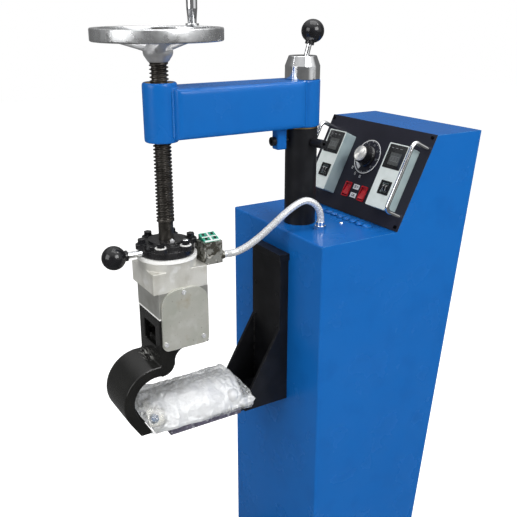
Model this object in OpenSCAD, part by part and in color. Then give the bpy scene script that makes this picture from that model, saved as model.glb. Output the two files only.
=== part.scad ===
// Floor-standing tyre vulcanizing machine: cabinet, pillar, swing boom, screw press,
// swivelling head with a C hook, heated platens and a tilted control panel.
// Millimetres, +Z up, the boom points to -Y, origin on the floor at the centre of the anchor holes,
// which is also the pillar's axis.

/* [Base] */
// Width of the floor plate
base_w = 440; // [380:5:600]
// Depth of the floor plate
base_d = 420; // [400:5:600]
// Thickness of the floor plate
base_t = 10; // [6:1:16]
// Distance from the plate's edges to the anchor holes
anchor_edge = 25; // [18:1:40]
// Diameter of the anchor holes
anchor_d = 14; // [10:1:18]

/* [Cabinet] */
// Width of the cabinet
cabinet_w = 300; // [300:5:360]
// Height of the deck above the floor plate
cabinet_h = 850; // [700:10:1000]
// Thickness of the sheet
sheet_t = 2; // [1.5:0.5:3]
// Distance from the pillar's axis forward to the front face
front_reach = 56; // [50:1:58]
// Distance from the pillar's axis back to the foot of the control panel
deck_reach = 109; // [100:1:130]
// Height of the console above the deck
console_h = 166; // [160:1:172]
// How far the control panel leans back over its height
panel_lean = 81; // [60:1:90]
// Distance from the pillar's axis back to the top rear edge
console_reach = 300; // [280:5:340]
// Distance from the pillar's axis back to the rear face at the floor
foot_reach = 185; // [160:5:200]
// Radius of the bent vertical edges
corner_r = 4; // [3:0.5:6]

/* [Pillar] */
// Outer diameter of the pillar tube
pillar_d = 58; // [54:1:62]
// Wall of the pillar tube
pillar_wall = 6; // [4:0.5:7]
// Height of the pillar above the deck
pillar_h = 177; // [170:1:200]
// Depth that the pillar reaches below the deck
pillar_sink = 120; // [90:5:200]

/* [Boom] */
// Distance from the pillar's axis to the screw's axis
boom_reach = 273; // [268:1:300]
// Width of the boom beam
beam_w = 80; // [74:1:90]
// Height of the boom beam
beam_h = 80; // [70:1:90]
// Wall of the boom beam
beam_wall = 6; // [4:0.5:8]
// Diameter of the boss round the pillar's spindle
rear_boss_d = 64; // [60:1:68]
// Diameter of the boss round the screw nut
front_boss_d = 56; // [50:1:60]
// Height of the front boss
front_boss_h = 95; // [92:1:100]

/* [Screw] */
// Major diameter of the screw thread
thread_d = 30; // [26:1:32]
// Pitch of the thread
thread_pitch = 6; // [5:0.5:7]
// Distance from the top of the boom's front boss up to the handwheel's hub
hub_gap = 30; // [24:1:60]
// Diameter of the plain shank below the thread
shank_d = 25; // [20:1:26]
// Outer diameter of the handwheel
wheel_d = 206; // [180:2:260]
// Height of the handwheel's rim
rim_h = 20; // [16:1:26]
// Radial width of the handwheel's rim
rim_w = 15; // [12:1:20]
// Length of the crank grip
grip_len = 88; // [60:2:110]
// Diameter of the crank grip
grip_d = 18; // [15:1:22]
// Diameter of the black ball knobs
ball_d = 40; // [32:1:42]

/* [Head] */
// Diameter of the black swivel flange
flange_d = 93; // [88:1:98]
// Thickness of the swivel flange
flange_t = 12; // [10:1:14]
// Width of the head block, the hook and the neck
head_w = 90; // [84:1:96]
// Height of the head block
block_h = 36; // [30:1:40]
// Outer radius of the C hook
hook_r = 63; // [61:0.5:66]
// Radial thickness of the C hook
hook_t = 19; // [14:0.5:21]
// Thickness of the side covers
cover_t = 4; // [2:0.5:5]

/* [Platens] */
// Half width of the upper platen
platen_half_w = 52; // [46:1:54]
// Length of the upper platen
platen_len = 166; // [150:1:168]
// Thickness of the upper platen
platen_t = 16; // [13:1:18]
// Width of the lower platen
lower_w = 100; // [90:1:110]
// Length of the lower platen
lower_len = 143; // [120:1:145]
// Thickness of the protective film's shell
film_t = 0.8; // [0.5:0.1:1]

/* [Bracket] */
// Width of the front bracket
bracket_w = 97; // [90:1:104]
// How far the bracket's column stands out
bracket_t = 18; // [14:1:22]
// Distance from the deck down to the bracket's top
bracket_drop = 40; // [30:1:60]
// How far the gussets reach from the front face
gusset_reach = 94; // [80:1:95]
// Thickness of the gussets and of the shelf
plate_t = 6; // [5:0.5:8]

/* [Control panel] */
// Width of each temperature controller
controller_w = 52; // [44:1:56]
// Height of each temperature controller
controller_h = 121; // [96:1:124]
// How far the controllers stand out
controller_d = 27; // [20:1:34]
// Diameter of the timer's dial ring
dial_d = 69; // [60:1:72]
// How far the guard handles stand out
guard_out = 38; // [30:1:44]
// Diameter of the guard handles' bar
guard_d = 8; // [6:0.5:10]

/* [Hidden] */
$fn = 96;

// Overrun of every cut
over = 1;
// Running clearance on a radius
run_gap = 0.06;
// Clearance between pieces that move past each other
free_gap = 0.5;
// Clearance round soft pieces
soft_gap = 0.5;
// Steps in a short bent edge
bend_steps = 5;

// Levels
deck_z = base_t + cabinet_h;
console_z = deck_z + console_h;
panel_tilt = atan(panel_lean / console_h);
panel_len = console_h / cos(panel_tilt);
rear_tilt = atan((console_reach - foot_reach) / (console_z - base_t));
rear_t = sheet_t / cos(rear_tilt);
function rear_y(z) = foot_reach + (z - base_t) * tan(rear_tilt);

// Points of an arc in a plane
function arc(c, r, from, to, n) =
    [for (i = [0 : n]) [c[0] + r * cos(from + (to - from) * i / n),
        c[1] + r * sin(from + (to - from) * i / n)]];

// A flat profile in Y and Z, drawn out along X
module along_x(w) {
    rotate([90, 0, 90]) linear_extrude(height = w, center = true) children();
}

// A rectangle with round corners, centred
module round_rect(w, h, r) {
    square([w - 2 * r, h], center = true);
    square([w, h - 2 * r], center = true);
    for (x = [-1, 1], y = [-1, 1]) translate([x * (w / 2 - r), y * (h / 2 - r)]) circle(r = r);
}

// A bar between two heights
module post(d, from, to) {
    translate([0, 0, from]) cylinder(d = d, h = to - from);
}

// A socket head screw that points along -Z, its head standing on z = 0
socket_share = 0.5;
socket_d_share = 0.95;
module cap_screw(head_d, head_h, shank, len) {
    difference() {
        union() {
            cylinder(d = head_d, h = head_h);
            translate([0, 0, -len]) cylinder(d = shank, h = len + over);
        }
        translate([0, 0, head_h * (1 - socket_share)])
            cylinder(d = shank * socket_d_share, h = head_h, $fn = 6);
    }
}

// A hexagon nut or head standing on z = 0
module hex(af, h) {
    cylinder(d = af / cos(30), h = h, $fn = 6);
}

// Places on the tilted panel: x across, u up the slope, off out of it
module on_panel(x, u, off = 0) {
    translate([0, deck_reach, deck_z]) rotate([90 - panel_tilt, 0, 0]) translate([x, u, off]) children();
}

// Base plate
module base_plate() {
    color("#2b2c2e") difference() {
        translate([-base_w / 2, -base_d / 2, 0]) cube([base_w, base_d, base_t]);
        for (x = [-1, 1], y = [-1, 1])
            translate([x * (base_w / 2 - anchor_edge), y * (base_d / 2 - anchor_edge), -over])
                cylinder(d = anchor_d, h = base_t + 2 * over);
    }
}

// Cabinet shell: front, sides, deck, console top and the frame round the panel
panel_border = 14;
vent_w = 3.5;
vent_len = 15;
vent_step = 19;
vent_count = 11;
vent_back = 26;
flange_w = 15;
gland_x = 62;
gland_y = 3;
gland_hole_d = 14;
module cabinet_outline(inset, open) {
    y0 = -front_reach + inset;
    z1 = deck_z - inset;
    z2 = console_z - inset;
    slope_shift = inset / cos(panel_tilt) - inset * tan(panel_tilt);
    r = corner_r - inset;
    rear_low = open ? foot_reach + over : foot_reach - rear_t;
    rear_top = open ? console_reach + over : console_reach - rear_t;
    z0 = open ? base_t - over : base_t;
    polygon(concat([[y0, z0]],
        arc([y0 + r, z1 - r], r, 180, 90, bend_steps),
        [[deck_reach + slope_shift, z1],
         [deck_reach + panel_lean + slope_shift, z2],
         [rear_top - (inset > 0 ? inset * tan(rear_tilt) : 0), z2],
         [rear_low, z0]]));
}
module cabinet_shell() {
    color("#0f56ad") difference() {
        intersection() {
            along_x(cabinet_w) cabinet_outline(0, false);
            translate([0, (console_reach - front_reach) / 2, 0])
                linear_extrude(height = console_z + over)
                    round_rect(cabinet_w, console_reach + front_reach, corner_r);
        }
        difference() {
            along_x(cabinet_w - 2 * sheet_t) cabinet_outline(sheet_t, true);
            for (s = [-1, 1]) translate([s * (cabinet_w / 2 - sheet_t - flange_w / 2), 0, 0])
                along_x(flange_w)
                polygon([[foot_reach - 2 * rear_t, base_t], [foot_reach - rear_t, base_t],
                         [console_reach - rear_t, console_z], [console_reach - 2 * rear_t, console_z]]);
        }
        on_panel(0, panel_len / 2, -sheet_t - over)
            linear_extrude(height = sheet_t + 2 * over)
                square([cabinet_w - 2 * panel_border, panel_len - 2 * panel_border], center = true);
        post(pillar_d + 2 * run_gap, deck_z - sheet_t - over, deck_z + over);
        translate([gland_x, gland_y, 0]) post(gland_hole_d, deck_z - sheet_t - over, deck_z + over);
        for (i = [0 : vent_count - 1])
            translate([(i - (vent_count - 1) / 2) * vent_step, deck_reach - vent_back, deck_z])
                cube([vent_w, vent_len, 2 * sheet_t + 2 * over], center = true);
    }
}

// Rear panel with two columns of vent slots
slot_w = 80;
slot_h = 5;
slot_step = 16;
slot_count = 9;
slot_low = 120;
slot_x = 62;
module rear_panel() {
    color("#0f56ad") difference() {
        along_x(cabinet_w)
            polygon([[foot_reach - rear_t, base_t], [foot_reach, base_t],
                     [console_reach, console_z], [console_reach - rear_t, console_z]]);
        for (i = [0 : slot_count - 1], s = [-1, 1], high = [0, 1])
            translate([s * slot_x, rear_y(slot_low + i * slot_step + high * cabinet_h / 2),
                       slot_low + i * slot_step + high * cabinet_h / 2])
                cube([slot_w, 4 * rear_t + 2 * over, slot_h], center = true);
        translate([0, rear_y(mains_z), mains_z]) rotate([-90 - rear_tilt, 0, 0])
            cylinder(d = mains_hole_d, h = 4 * sheet_t, center = true);
    }
}

// Screws of the rear panel and of the control panel
screw_head_d = 9;
screw_head_h = 2.5;
screw_edge = 9;
screw_rows = 5;
panel_screw_d = 6;
panel_screw_edge = 7;
module cabinet_screws() {
    color("#c9ccd0") {
        for (s = [-1, 1], i = [0 : screw_rows - 1]) {
            z = base_t + 3 * screw_edge + i * (console_h + cabinet_h - 6 * screw_edge) / (screw_rows - 1);
            translate([s * (cabinet_w / 2 - screw_edge), rear_y(z), z]) rotate([-90 - rear_tilt, 0, 0])
                cylinder(d = screw_head_d, h = screw_head_h);
        }
        for (s = [-1, 1], u = [panel_screw_edge, panel_len - panel_screw_edge])
            on_panel(s * (cabinet_w / 2 - panel_screw_edge), u, panel_t)
                cylinder(d = panel_screw_d, h = screw_head_h);
    }
}

// Control panel: black plate with cut-outs for the rockers, the timer's shaft and the controllers
panel_t = 2.5;
timer_x = 1;
timer_u = 116;
timer_shaft_d = 8;
rocker_x = [-20, 28];
rocker_u = 45;
rocker_w = 14;
rocker_h = 24;
rocker_gap = 0.6;
controller_edge = [70, 49];
controller_x = [controller_edge[0] - cabinet_w / 2, cabinet_w / 2 - controller_edge[1]];
controller_foot = 27.5;
controller_u = controller_foot + controller_h / 2;
module control_panel() {
    color("#17181a") difference() {
        on_panel(0, panel_len / 2, 0) linear_extrude(height = panel_t)
            square([cabinet_w, panel_len], center = true);
        on_panel(timer_x, timer_u, -over) cylinder(d = timer_shaft_d + 2 * free_gap, h = panel_t + 2 * over);
        for (x = rocker_x) on_panel(x, rocker_u, -over) linear_extrude(height = panel_t + 2 * over)
            square([rocker_w + 2 * rocker_gap, rocker_h + 2 * rocker_gap], center = true);
    }
}

// Pillar tube
pillar_top = deck_z + pillar_h;
pillar_low = deck_z - pillar_sink;
pillar_bore = pillar_d - 2 * pillar_wall;
lock_drop = 24;
lock_angle = 8;
lock_shank_d = 8;
lock_head_d = 16;
lock_head_len = 26;
lock_stand = 4;
module pillar() {
    color("#1c1d20") difference() {
        post(pillar_d, pillar_low, pillar_top);
        post(pillar_bore, pillar_low - over, pillar_top + over);
        translate([0, 0, pillar_top - lock_drop]) rotate([0, 90, lock_angle])
            cylinder(d = lock_shank_d + 2 * run_gap, h = pillar_d);
    }
}

// Welded seat that holds the pillar inside the cabinet
socket_t = 6;
socket_w = cabinet_w - 2 * sheet_t;
socket_d = 2 * (front_reach - corner_r);
module pillar_socket() {
    color("#3a3c40") difference() {
        union() {
            for (z = [deck_z - sheet_t - socket_t, pillar_low])
                translate([-socket_w / 2, -socket_d / 2, z]) cube([socket_w, socket_d, socket_t]);
            for (s = [-1, 1]) translate([s * pillar_d - socket_t / 2, -socket_d / 2, pillar_low])
                cube([socket_t, socket_d, pillar_sink - sheet_t - socket_t + over]);
        }
        post(pillar_d + 2 * run_gap, pillar_low - over, deck_z);
        translate([gland_x, gland_y, 0]) post(gland_hole_d, deck_z - sheet_t - socket_t - over, deck_z);
        translate([gland_x - gland_hole_d, gland_y - gland_hole_d,
            deck_z - sheet_t - socket_t - 3 * socket_t])
            cube([2 * gland_hole_d, 2 * gland_hole_d, 3 * socket_t]);
    }
}

// Two bronze bushes in the pillar and the washer that the boom turns on
bush_wall = 4;
spindle_d = pillar_bore - 2 * bush_wall;
bush_h = 36;
washer_t = 2;
module pillar_bushes() {
    color("#b08a4a") difference() {
        union() {
            post(pillar_bore - 2 * run_gap, pillar_top - bush_h, pillar_top);
            post(pillar_bore - 2 * run_gap, pillar_low, pillar_low + bush_h);
            post(pillar_d, pillar_top, pillar_top + washer_t);
        }
        post(spindle_d + 2 * run_gap, pillar_low - over, pillar_top + washer_t + over);
        translate([0, 0, pillar_top - lock_drop]) rotate([0, 90, lock_angle])
            cylinder(d = lock_shank_d + 2 * run_gap, h = pillar_d);
    }
}

// Screw in the pillar's side that locks the boom's spindle
module lock_screw() {
    color("#151515") translate([0, 0, pillar_top - lock_drop]) rotate([0, 90, lock_angle])
        translate([0, 0, pillar_d / 2 + lock_stand])
            cap_screw(lock_head_d, lock_head_len, lock_shank_d,
                pillar_d / 2 + lock_stand - spindle_d / 2 - free_gap);
}

// Sizes and levels that several pieces share
shelf_t = 8;
press_gap = 1;
lower_t = 4.5;
ring_t = 6;
boss_h = 14;
block_top = -flange_t - ring_t - boss_h;
box_h = 44;
gasket_t = 3;
neck_top = block_top - block_h - box_h - gasket_t;
neck_len = 60;
neck_low = neck_top - neck_len;
throat_drop = 22;
throat_z = neck_low - throat_drop;
throat_r = 24;
band_lap = 2;
hook_z = throat_z - throat_r - hook_r + hook_t + band_lap;
tail_drop = 61.5;
tail_low = hook_z - tail_drop;
lower_top = deck_z + tail_low - press_gap;
platen_back = 108;
film_gap = 1;
dome_t = 1.5;

// Front bracket: column with a cap, two gussets and the shelf
bracket_top = deck_z - bracket_drop;
bracket_low = lower_top - lower_t - shelf_t;
bracket_wall = 4;
bracket_cap_h = 12;
bracket_lip = 3;
column_y = -front_reach - bracket_t;
gusset_y = -front_reach - gusset_reach;
gusset_rise = 152;
gusset_nose = 18;
shelf_front = 17;
module lower_bracket() {
    shelf_y = -boom_reach - shelf_front;
    color("#191a1c") difference() {
        union() {
            translate([-bracket_w / 2, column_y, bracket_low])
                cube([bracket_w, bracket_t, bracket_top - bracket_low]);
            translate([-bracket_w / 2 - bracket_lip, column_y - bracket_lip, bracket_top - bracket_cap_h])
                cube([bracket_w + 2 * bracket_lip, bracket_t + bracket_lip, bracket_cap_h]);
            for (s = [-1, 1]) translate([s * (bracket_w - plate_t) / 2, 0, 0]) along_x(plate_t)
                polygon([[column_y + over, bracket_low + gusset_rise], [column_y, bracket_low + gusset_rise],
                         [gusset_y, bracket_low + gusset_nose], [gusset_y, bracket_low],
                         [column_y + over, bracket_low]]);
            translate([-bracket_w / 2 + plate_t - over, shelf_y, bracket_low])
                cube([bracket_w - 2 * plate_t + 2 * over, -front_reach - shelf_y, shelf_t]);
        }
        translate([-bracket_w / 2 + bracket_wall, column_y + bracket_wall, bracket_low + shelf_t])
            cube([bracket_w - 2 * bracket_wall, bracket_t - bracket_wall + over,
                  bracket_top - bracket_low - shelf_t - bracket_cap_h]);
    }
}

// Nuts and screws of the bracket
nut_af = 10;
nut_h = 5;
nut_x = 24;
nut_back = 60;
bolt_head_d = 7;
bolt_head_h = 2;
bracket_bolt_edge = 11;
bracket_bolt_drops = [80, 146];
module bracket_nuts() {
    color("#d5d7da") {
        for (s = [-1, 1]) translate([s * nut_x, column_y - nut_back, bracket_low + shelf_t])
            hex(nut_af, nut_h);
        for (s = [-1, 1], drop = bracket_bolt_drops)
            translate([s * (bracket_w / 2 - bracket_bolt_edge), column_y, bracket_top - drop])
                rotate([90, 0, 0]) cylinder(d = bolt_head_d, h = bolt_head_h);
    }
}

// Lower heated platen: a plate with a skirt that sits over the shelf
lower_skirt_h = 7;
lower_skirt_t = 5;
lower_ahead = 30;
module lower_platen() {
    lower_y = -boom_reach - lower_ahead;
    color("#8d8a96") difference() {
        translate([-lower_w / 2, lower_y, lower_top - lower_t - lower_skirt_h])
            cube([lower_w, lower_len, lower_t + lower_skirt_h]);
        translate([-bracket_w / 2 + plate_t - over - free_gap, lower_y + lower_skirt_t,
                   lower_top - lower_t - lower_skirt_h - over])
            cube([bracket_w - 2 * plate_t + 2 * over + 2 * free_gap, lower_len, lower_skirt_h + over]);
    }
}

// Temperature controllers, each with a slot for two digit wheels on a pin
case_r = 2;
wheel_slot_w = 16;
wheel_slot_h = 17;
wheel_slot_deep = 14;
wheel_drop = 22;
wheel_shift = 6;
module controller(x) {
    color("#dfe3e2") {
        difference() {
            on_panel(x, controller_u, panel_t) linear_extrude(height = controller_d)
                round_rect(controller_w, controller_h, case_r);
            on_panel(x + wheel_shift, controller_u - wheel_drop, panel_t + controller_d)
                cube([wheel_slot_w, wheel_slot_h, 2 * wheel_slot_deep], center = true);
        }
        digit_place(x) cylinder(d = digit_pin_d, h = wheel_slot_w + 2 * over, center = true);
    }
}
module controller_left() { controller(controller_x[0]); }
module controller_right() { controller(controller_x[1]); }

// Dark display windows and the surrounds of the digit wheels
window_w = 42;
window_h = 40;
window_rise = 36;
front_t = 1.2;
surround_rim = 5;
module controller_fronts() {
    color("#26282b") for (x = controller_x) {
        on_panel(x, controller_u + window_rise, panel_t + controller_d) linear_extrude(height = front_t)
            round_rect(window_w, window_h, case_r);
        on_panel(x + wheel_shift, controller_u - wheel_drop, panel_t + controller_d)
            linear_extrude(height = front_t)
            difference() {
                round_rect(wheel_slot_w + 2 * surround_rim, wheel_slot_h + 2 * surround_rim, case_r);
                square([wheel_slot_w, wheel_slot_h], center = true);
            }
    }
}

// Digit wheels of the controllers' set-point switches
digit_wheel_d = 14;
digit_wheel_w = 7;
digit_wheel_sink = 4;
digit_pin_d = 3;
module digit_place(x) {
    on_panel(x + wheel_shift, controller_u - wheel_drop, panel_t + controller_d - digit_wheel_sink)
        rotate([0, 90, 0])
        children();
}
module digit_wheel(x, side) {
    color("#101113") digit_place(x) translate([0, 0, side * (digit_wheel_w + free_gap) / 2]) difference() {
        cylinder(d = digit_wheel_d, h = digit_wheel_w, center = true);
        cylinder(d = digit_pin_d + 2 * run_gap, h = digit_wheel_w + 2 * over, center = true);
    }
}
module digit_wheel_1() { digit_wheel(controller_x[0], -1); }
module digit_wheel_2() { digit_wheel(controller_x[0], 1); }
module digit_wheel_3() { digit_wheel(controller_x[1], -1); }
module digit_wheel_4() { digit_wheel(controller_x[1], 1); }

// Chrome guard handles at the two edges of the panel
guard_edge = [22, 7];
guard_x = [guard_edge[0] - cabinet_w / 2, cabinet_w / 2 - guard_edge[1]];
guard_low = 27;
guard_high = 157;
guard_bend = 10;
module guard_handle() {
    reach = guard_out - guard_bend;
    for (u = [guard_low, guard_high]) translate([0, u, 0]) cylinder(d = guard_d, h = reach);
    translate([0, guard_low + guard_bend, guard_out]) rotate([-90, 0, 0])
        cylinder(d = guard_d, h = guard_high - guard_low - 2 * guard_bend);
    for (e = [0, 1]) translate([0, e == 0 ? guard_low + guard_bend : guard_high - guard_bend, reach])
        rotate([0, -90, 0]) rotate([0, 0, e == 0 ? -90 : 0])
            rotate_extrude(angle = 90) translate([guard_bend, 0]) circle(d = guard_d);
}
module guard_handles() {
    color("#cfd3d8") for (x = guard_x) on_panel(x, 0, panel_t) guard_handle();
}

// Timer: dial ring and knob
dial_t = 1.2;
knob_d = 42;
knob_h = 15;
knob_cap_d = 23;
knob_cap_h = 21;
knob_taper = 2;
timer_shaft_in = 10;
module timer_dial() {
    color("#202225") on_panel(timer_x, timer_u, panel_t) difference() {
        cylinder(d = dial_d, h = dial_t);
        translate([0, 0, -over]) cylinder(d = timer_shaft_d + 2 * free_gap, h = dial_t + 2 * over);
    }
}
module timer_knob() {
    color("#111214") on_panel(timer_x, timer_u, panel_t + dial_t + free_gap) {
        cylinder(d1 = knob_d, d2 = knob_d - 2 * knob_taper, h = knob_h);
        cylinder(d = knob_cap_d, h = knob_cap_h);
        translate([0, 0, -dial_t - free_gap - panel_t - timer_shaft_in])
            cylinder(d = timer_shaft_d, h = timer_shaft_in + dial_t + free_gap + panel_t + over);
    }
}

// Rocker switches, shown switched off
rocker_tilt = 9;
rocker_out = 3.5;
rocker_in = 2;
rocker_trim = 0.7;
rocker_dish = 1;
rocker_pin_d = 5;
module rocker(x) {
    dish_r = (rocker_h * rocker_h / 4 + rocker_dish * rocker_dish) / (2 * rocker_dish);
    color("#c3202b") on_panel(x, rocker_u, 0) rotate([-rocker_tilt, 0, 0]) difference() {
        union() {
            translate([-rocker_w / 2, -rocker_h / 2 + rocker_trim, -rocker_in])
                cube([rocker_w, rocker_h - 2 * rocker_trim, rocker_out + rocker_in]);
            rotate([0, 90, 0]) cylinder(d = rocker_pin_d, h = rocker_w, center = true);
        }
        translate([0, 0, rocker_out - rocker_dish + dish_r]) rotate([0, 90, 0])
            cylinder(r = dish_r, h = rocker_w + 2 * over, center = true);
    }
}
module rocker_left() { rocker(rocker_x[0]); }
module rocker_right() { rocker(rocker_x[1]); }

// Gland on the deck that the head's conduit leaves from
hose_d = 12.6;
ferrule_d = 15;
ferrule_h = 14;
gland_af = 18;
gland_hex_h = 7;
module deck_gland() {
    color("#c8ccd0") translate([gland_x, gland_y, deck_z]) {
        hex(gland_af, gland_hex_h);
        cylinder(d = ferrule_d, h = ferrule_h);
        translate([0, 0, -3 * sheet_t - socket_t])
            cylinder(d = gland_hole_d - 2 * run_gap, h = 3 * sheet_t + socket_t + over);
    }
}

// Gland for the mains cord in the rear panel
mains_z = 70;
mains_hole_d = 20;
mains_af = 24;
mains_hex_h = 8;
mains_len = 16;
mains_in = 8;
mains_cap_d = 19;
mains_bore = 9;
module mains_gland() {
    color("#1d1e20") translate([0, rear_y(mains_z), mains_z]) rotate([-90 - rear_tilt, 0, 0]) difference() {
        union() {
            hex(mains_af, mains_hex_h);
            cylinder(d = mains_cap_d, h = mains_len);
            translate([0, 0, -mains_in]) cylinder(d = mains_hole_d - 2 * run_gap, h = mains_in + over);
        }
        translate([0, 0, -mains_in - over]) cylinder(d = mains_bore, h = mains_len + mains_in + 2 * over);
    }
}

// Rail with the two contactors, on the cabinet's left wall
rail_len = 160;
rail_h = 35;
rail_t = 7.5;
contactor_w = 45;
contactor_h = 74;
contactor_t = 60;
rail_drop = 260;
rail_z = deck_z - rail_drop;
contactor_edge = 15;
contactor_gap = 20;
module contactor_rail() {
    x0 = -cabinet_w / 2 + sheet_t;
    color("#d8d8d2") {
        translate([x0, 0, rail_z]) cube([rail_t, rail_len, rail_h]);
        for (i = [0, 1])
            translate([x0 + rail_t, contactor_edge + i * (contactor_w + contactor_gap),
                rail_z - (contactor_h - rail_h) / 2])
            cube([contactor_t, contactor_w, contactor_h]);
    }
}

// Swing boom: hollow beam, two bosses and the stop lug
beam_rise = 1.75;
rear_boss_low = pillar_top + washer_t + free_gap / 2;
boom_z = rear_boss_low + beam_rise;
beam_r = 8;
beam_front_r = 12;
beam_rear_r = 16;
beam_rear = 12;
boss_proud = 0.5;
rear_boss_top = boom_z + beam_h + boss_proud;
front_boss_drop = 6;
front_boss_low = boom_z - front_boss_drop;
front_boss_top = front_boss_low + front_boss_h;
boss_r = 4;
nut_wall = 5;
nut_d = front_boss_d - 2 * nut_wall;
beam_front_gap = 11;
lug_w = 20;
lug_front = 57;
lug_back = 37;
lug_drop = 40;
module beam_plan(inset) {
    front = boom_reach - beam_front_gap;
    w = beam_w - 2 * inset;
    square_y0 = -front + inset;
    square_y1 = -beam_rear - inset;
    rf = beam_front_r - inset / 2;
    rr = beam_rear_r - inset / 2;
    translate([-w / 2 + rf, square_y0]) square([w - 2 * rf, rf + over]);
    for (s = [-1, 1]) translate([s * (w / 2 - rf), square_y0 + rf]) circle(r = rf);
    translate([-w / 2, square_y0 + rf]) square([w, square_y1 - square_y0 - rf - rr]);
    for (s = [-1, 1]) translate([s * (w / 2 - rr), square_y1 - rr]) circle(r = rr);
    translate([-w / 2 + rr, square_y1 - rr - over]) square([w - 2 * rr, rr + over]);
}
module beam(inset) {
    intersection() {
        translate([0, 0, boom_z]) linear_extrude(height = beam_h) beam_plan(inset);
        translate([0, 0, boom_z + beam_h / 2]) rotate([90, 0, 0]) linear_extrude(height = boom_reach + over)
            round_rect(beam_w - 2 * inset, beam_h - 2 * inset, beam_r - inset / 2);
    }
}
module front_boss(d) {
    translate([0, -boom_reach, front_boss_low]) rotate_extrude() union() {
        square([d / 2 - boss_r, front_boss_h]);
        translate([0, boss_r]) square([d / 2, front_boss_h - 2 * boss_r]);
        for (z = [boss_r, front_boss_h - boss_r]) translate([d / 2 - boss_r, z]) circle(r = boss_r);
    }
}
module swing_boom() {
    color("#1360b8") difference() {
        union() {
            difference() {
                beam(0);
                beam(beam_wall);
            }
            post(rear_boss_d, rear_boss_low, rear_boss_top);
            front_boss(front_boss_d);
            translate([-lug_w / 2, -lug_front, boom_z - lug_drop])
                cube([lug_w, lug_front - lug_back, lug_drop + beam_wall / 2]);
        }
        post(spindle_d + 2 * run_gap, rear_boss_low - over, rear_boss_top + over);
        translate([0, -boom_reach, 0])
            post(nut_d, front_boss_low - over, front_boss_low + front_boss_h + over);
        translate([0, -lug_back + over, boom_z - lug_bolt_drop]) rotate([90, 0, 0])
            cylinder(d = lug_bolt_d + 2 * run_gap, h = lug_front);
    }
}

// Spindle that carries the boom inside the pillar
stub_step = 5;
spindle_stub_d = spindle_d - 2 * stub_step;
spindle_stub_h = 26;
module boom_spindle() {
    color("#8e9195") {
        post(spindle_d, pillar_low + free_gap, rear_boss_top - free_gap);
        post(spindle_stub_d, rear_boss_top - free_gap - over, rear_boss_top + spindle_stub_h);
    }
}

// Bolt in the lug that drags on the pillar
lug_bolt_d = 8;
lug_bolt_head_d = 16;
lug_bolt_head_h = 7;
lug_bolt_drop = 25;
module lug_bolt() {
    color("#16171a") translate([0, -lug_front, boom_z - lug_bolt_drop]) rotate([90, 0, 0])
        cap_screw(lug_bolt_head_d, lug_bolt_head_h, lug_bolt_d, lug_front - pillar_d / 2 - free_gap);
}

// Bronze nut in the front boss
nut_sink = 1;
module screw_nut() {
    color("#b08a4a") translate([0, -boom_reach, 0]) difference() {
        post(nut_d - 2 * run_gap, front_boss_low + nut_sink, front_boss_top - nut_sink);
        post(thread_d + 4 * run_gap, front_boss_low, front_boss_top);
    }
}

// Chrome cap on the spindle, its lever and ball
cap_inset = 1;
cap_d = rear_boss_d - 2 * cap_inset;
cap_gap = 0.3;
cap_low = rear_boss_top + cap_gap;
cap_h = 39;
cap_straight = 22;
cap_top_share = 0.75;
cap_round = 2;
lever_d = 9;
lever_tilt = 16.7;
lever_y = 8;
lever_len = 42;
lever_sink = 6;
module lever_place() {
    translate([0, lever_y, cap_low + cap_h]) rotate([-lever_tilt, 0, 0]) children();
}
module lock_cap() {
    color("#d2d5d9") difference() {
        translate([0, 0, cap_low]) rotate_extrude() polygon(concat(
            [[0, 0], [cap_d / 2, 0], [cap_d / 2, cap_straight]],
            arc([cap_d / 2 * cap_top_share, cap_h - cap_round], cap_round, 40, 90, bend_steps),
            [[0, cap_h]]));
        post(spindle_stub_d + 2 * run_gap, cap_low - over, rear_boss_top + spindle_stub_h + free_gap);
        lever_place() translate([0, 0, -lever_sink])
            cylinder(d = lever_d + 2 * run_gap, h = 2 * lever_sink + over);
    }
}
module cap_lever() {
    color("#d2d5d9") lever_place() translate([0, 0, -lever_sink + run_gap])
        cylinder(d = lever_d, h = lever_len + lever_sink - ball_d / 4);
}
knob_neck_wall = 3.5;
knob_neck_h = 3;
knob_neck_in = 5;
module ball_knob(stem_d) {
    difference() {
        union() {
            sphere(d = ball_d);
            translate([0, 0, -ball_d / 2 - knob_neck_h])
                cylinder(d = stem_d + 2 * knob_neck_wall, h = knob_neck_h + knob_neck_in);
        }
        translate([0, 0, -ball_d]) cylinder(d = stem_d + 2 * run_gap, h = ball_d * 3 / 4 + run_gap);
    }
}
module cap_ball() {
    color("#121315") lever_place() translate([0, 0, lever_len]) ball_knob(lever_d);
}

// Thrust bearing between the screw's collar and the head
bearing_t = 10;
bearing_d = 47;
bearing_wall = 13.5;
bearing_bore = bearing_d - 2 * bearing_wall;
collar_inset = 1.5;
collar_d = bearing_d - 2 * collar_inset;
collar_t = 13.8;
collar_gap = 0.1;
collar_top = deck_z - collar_gap;
collar_low = collar_top - collar_t;
bearing_low = collar_low - collar_gap - bearing_t;
module thrust_bearing() {
    color("#9a9da1") translate([0, -boom_reach, 0]) difference() {
        post(bearing_d, bearing_low, bearing_low + bearing_t);
        post(bearing_bore, bearing_low - over, bearing_low + bearing_t + over);
    }
}

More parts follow.
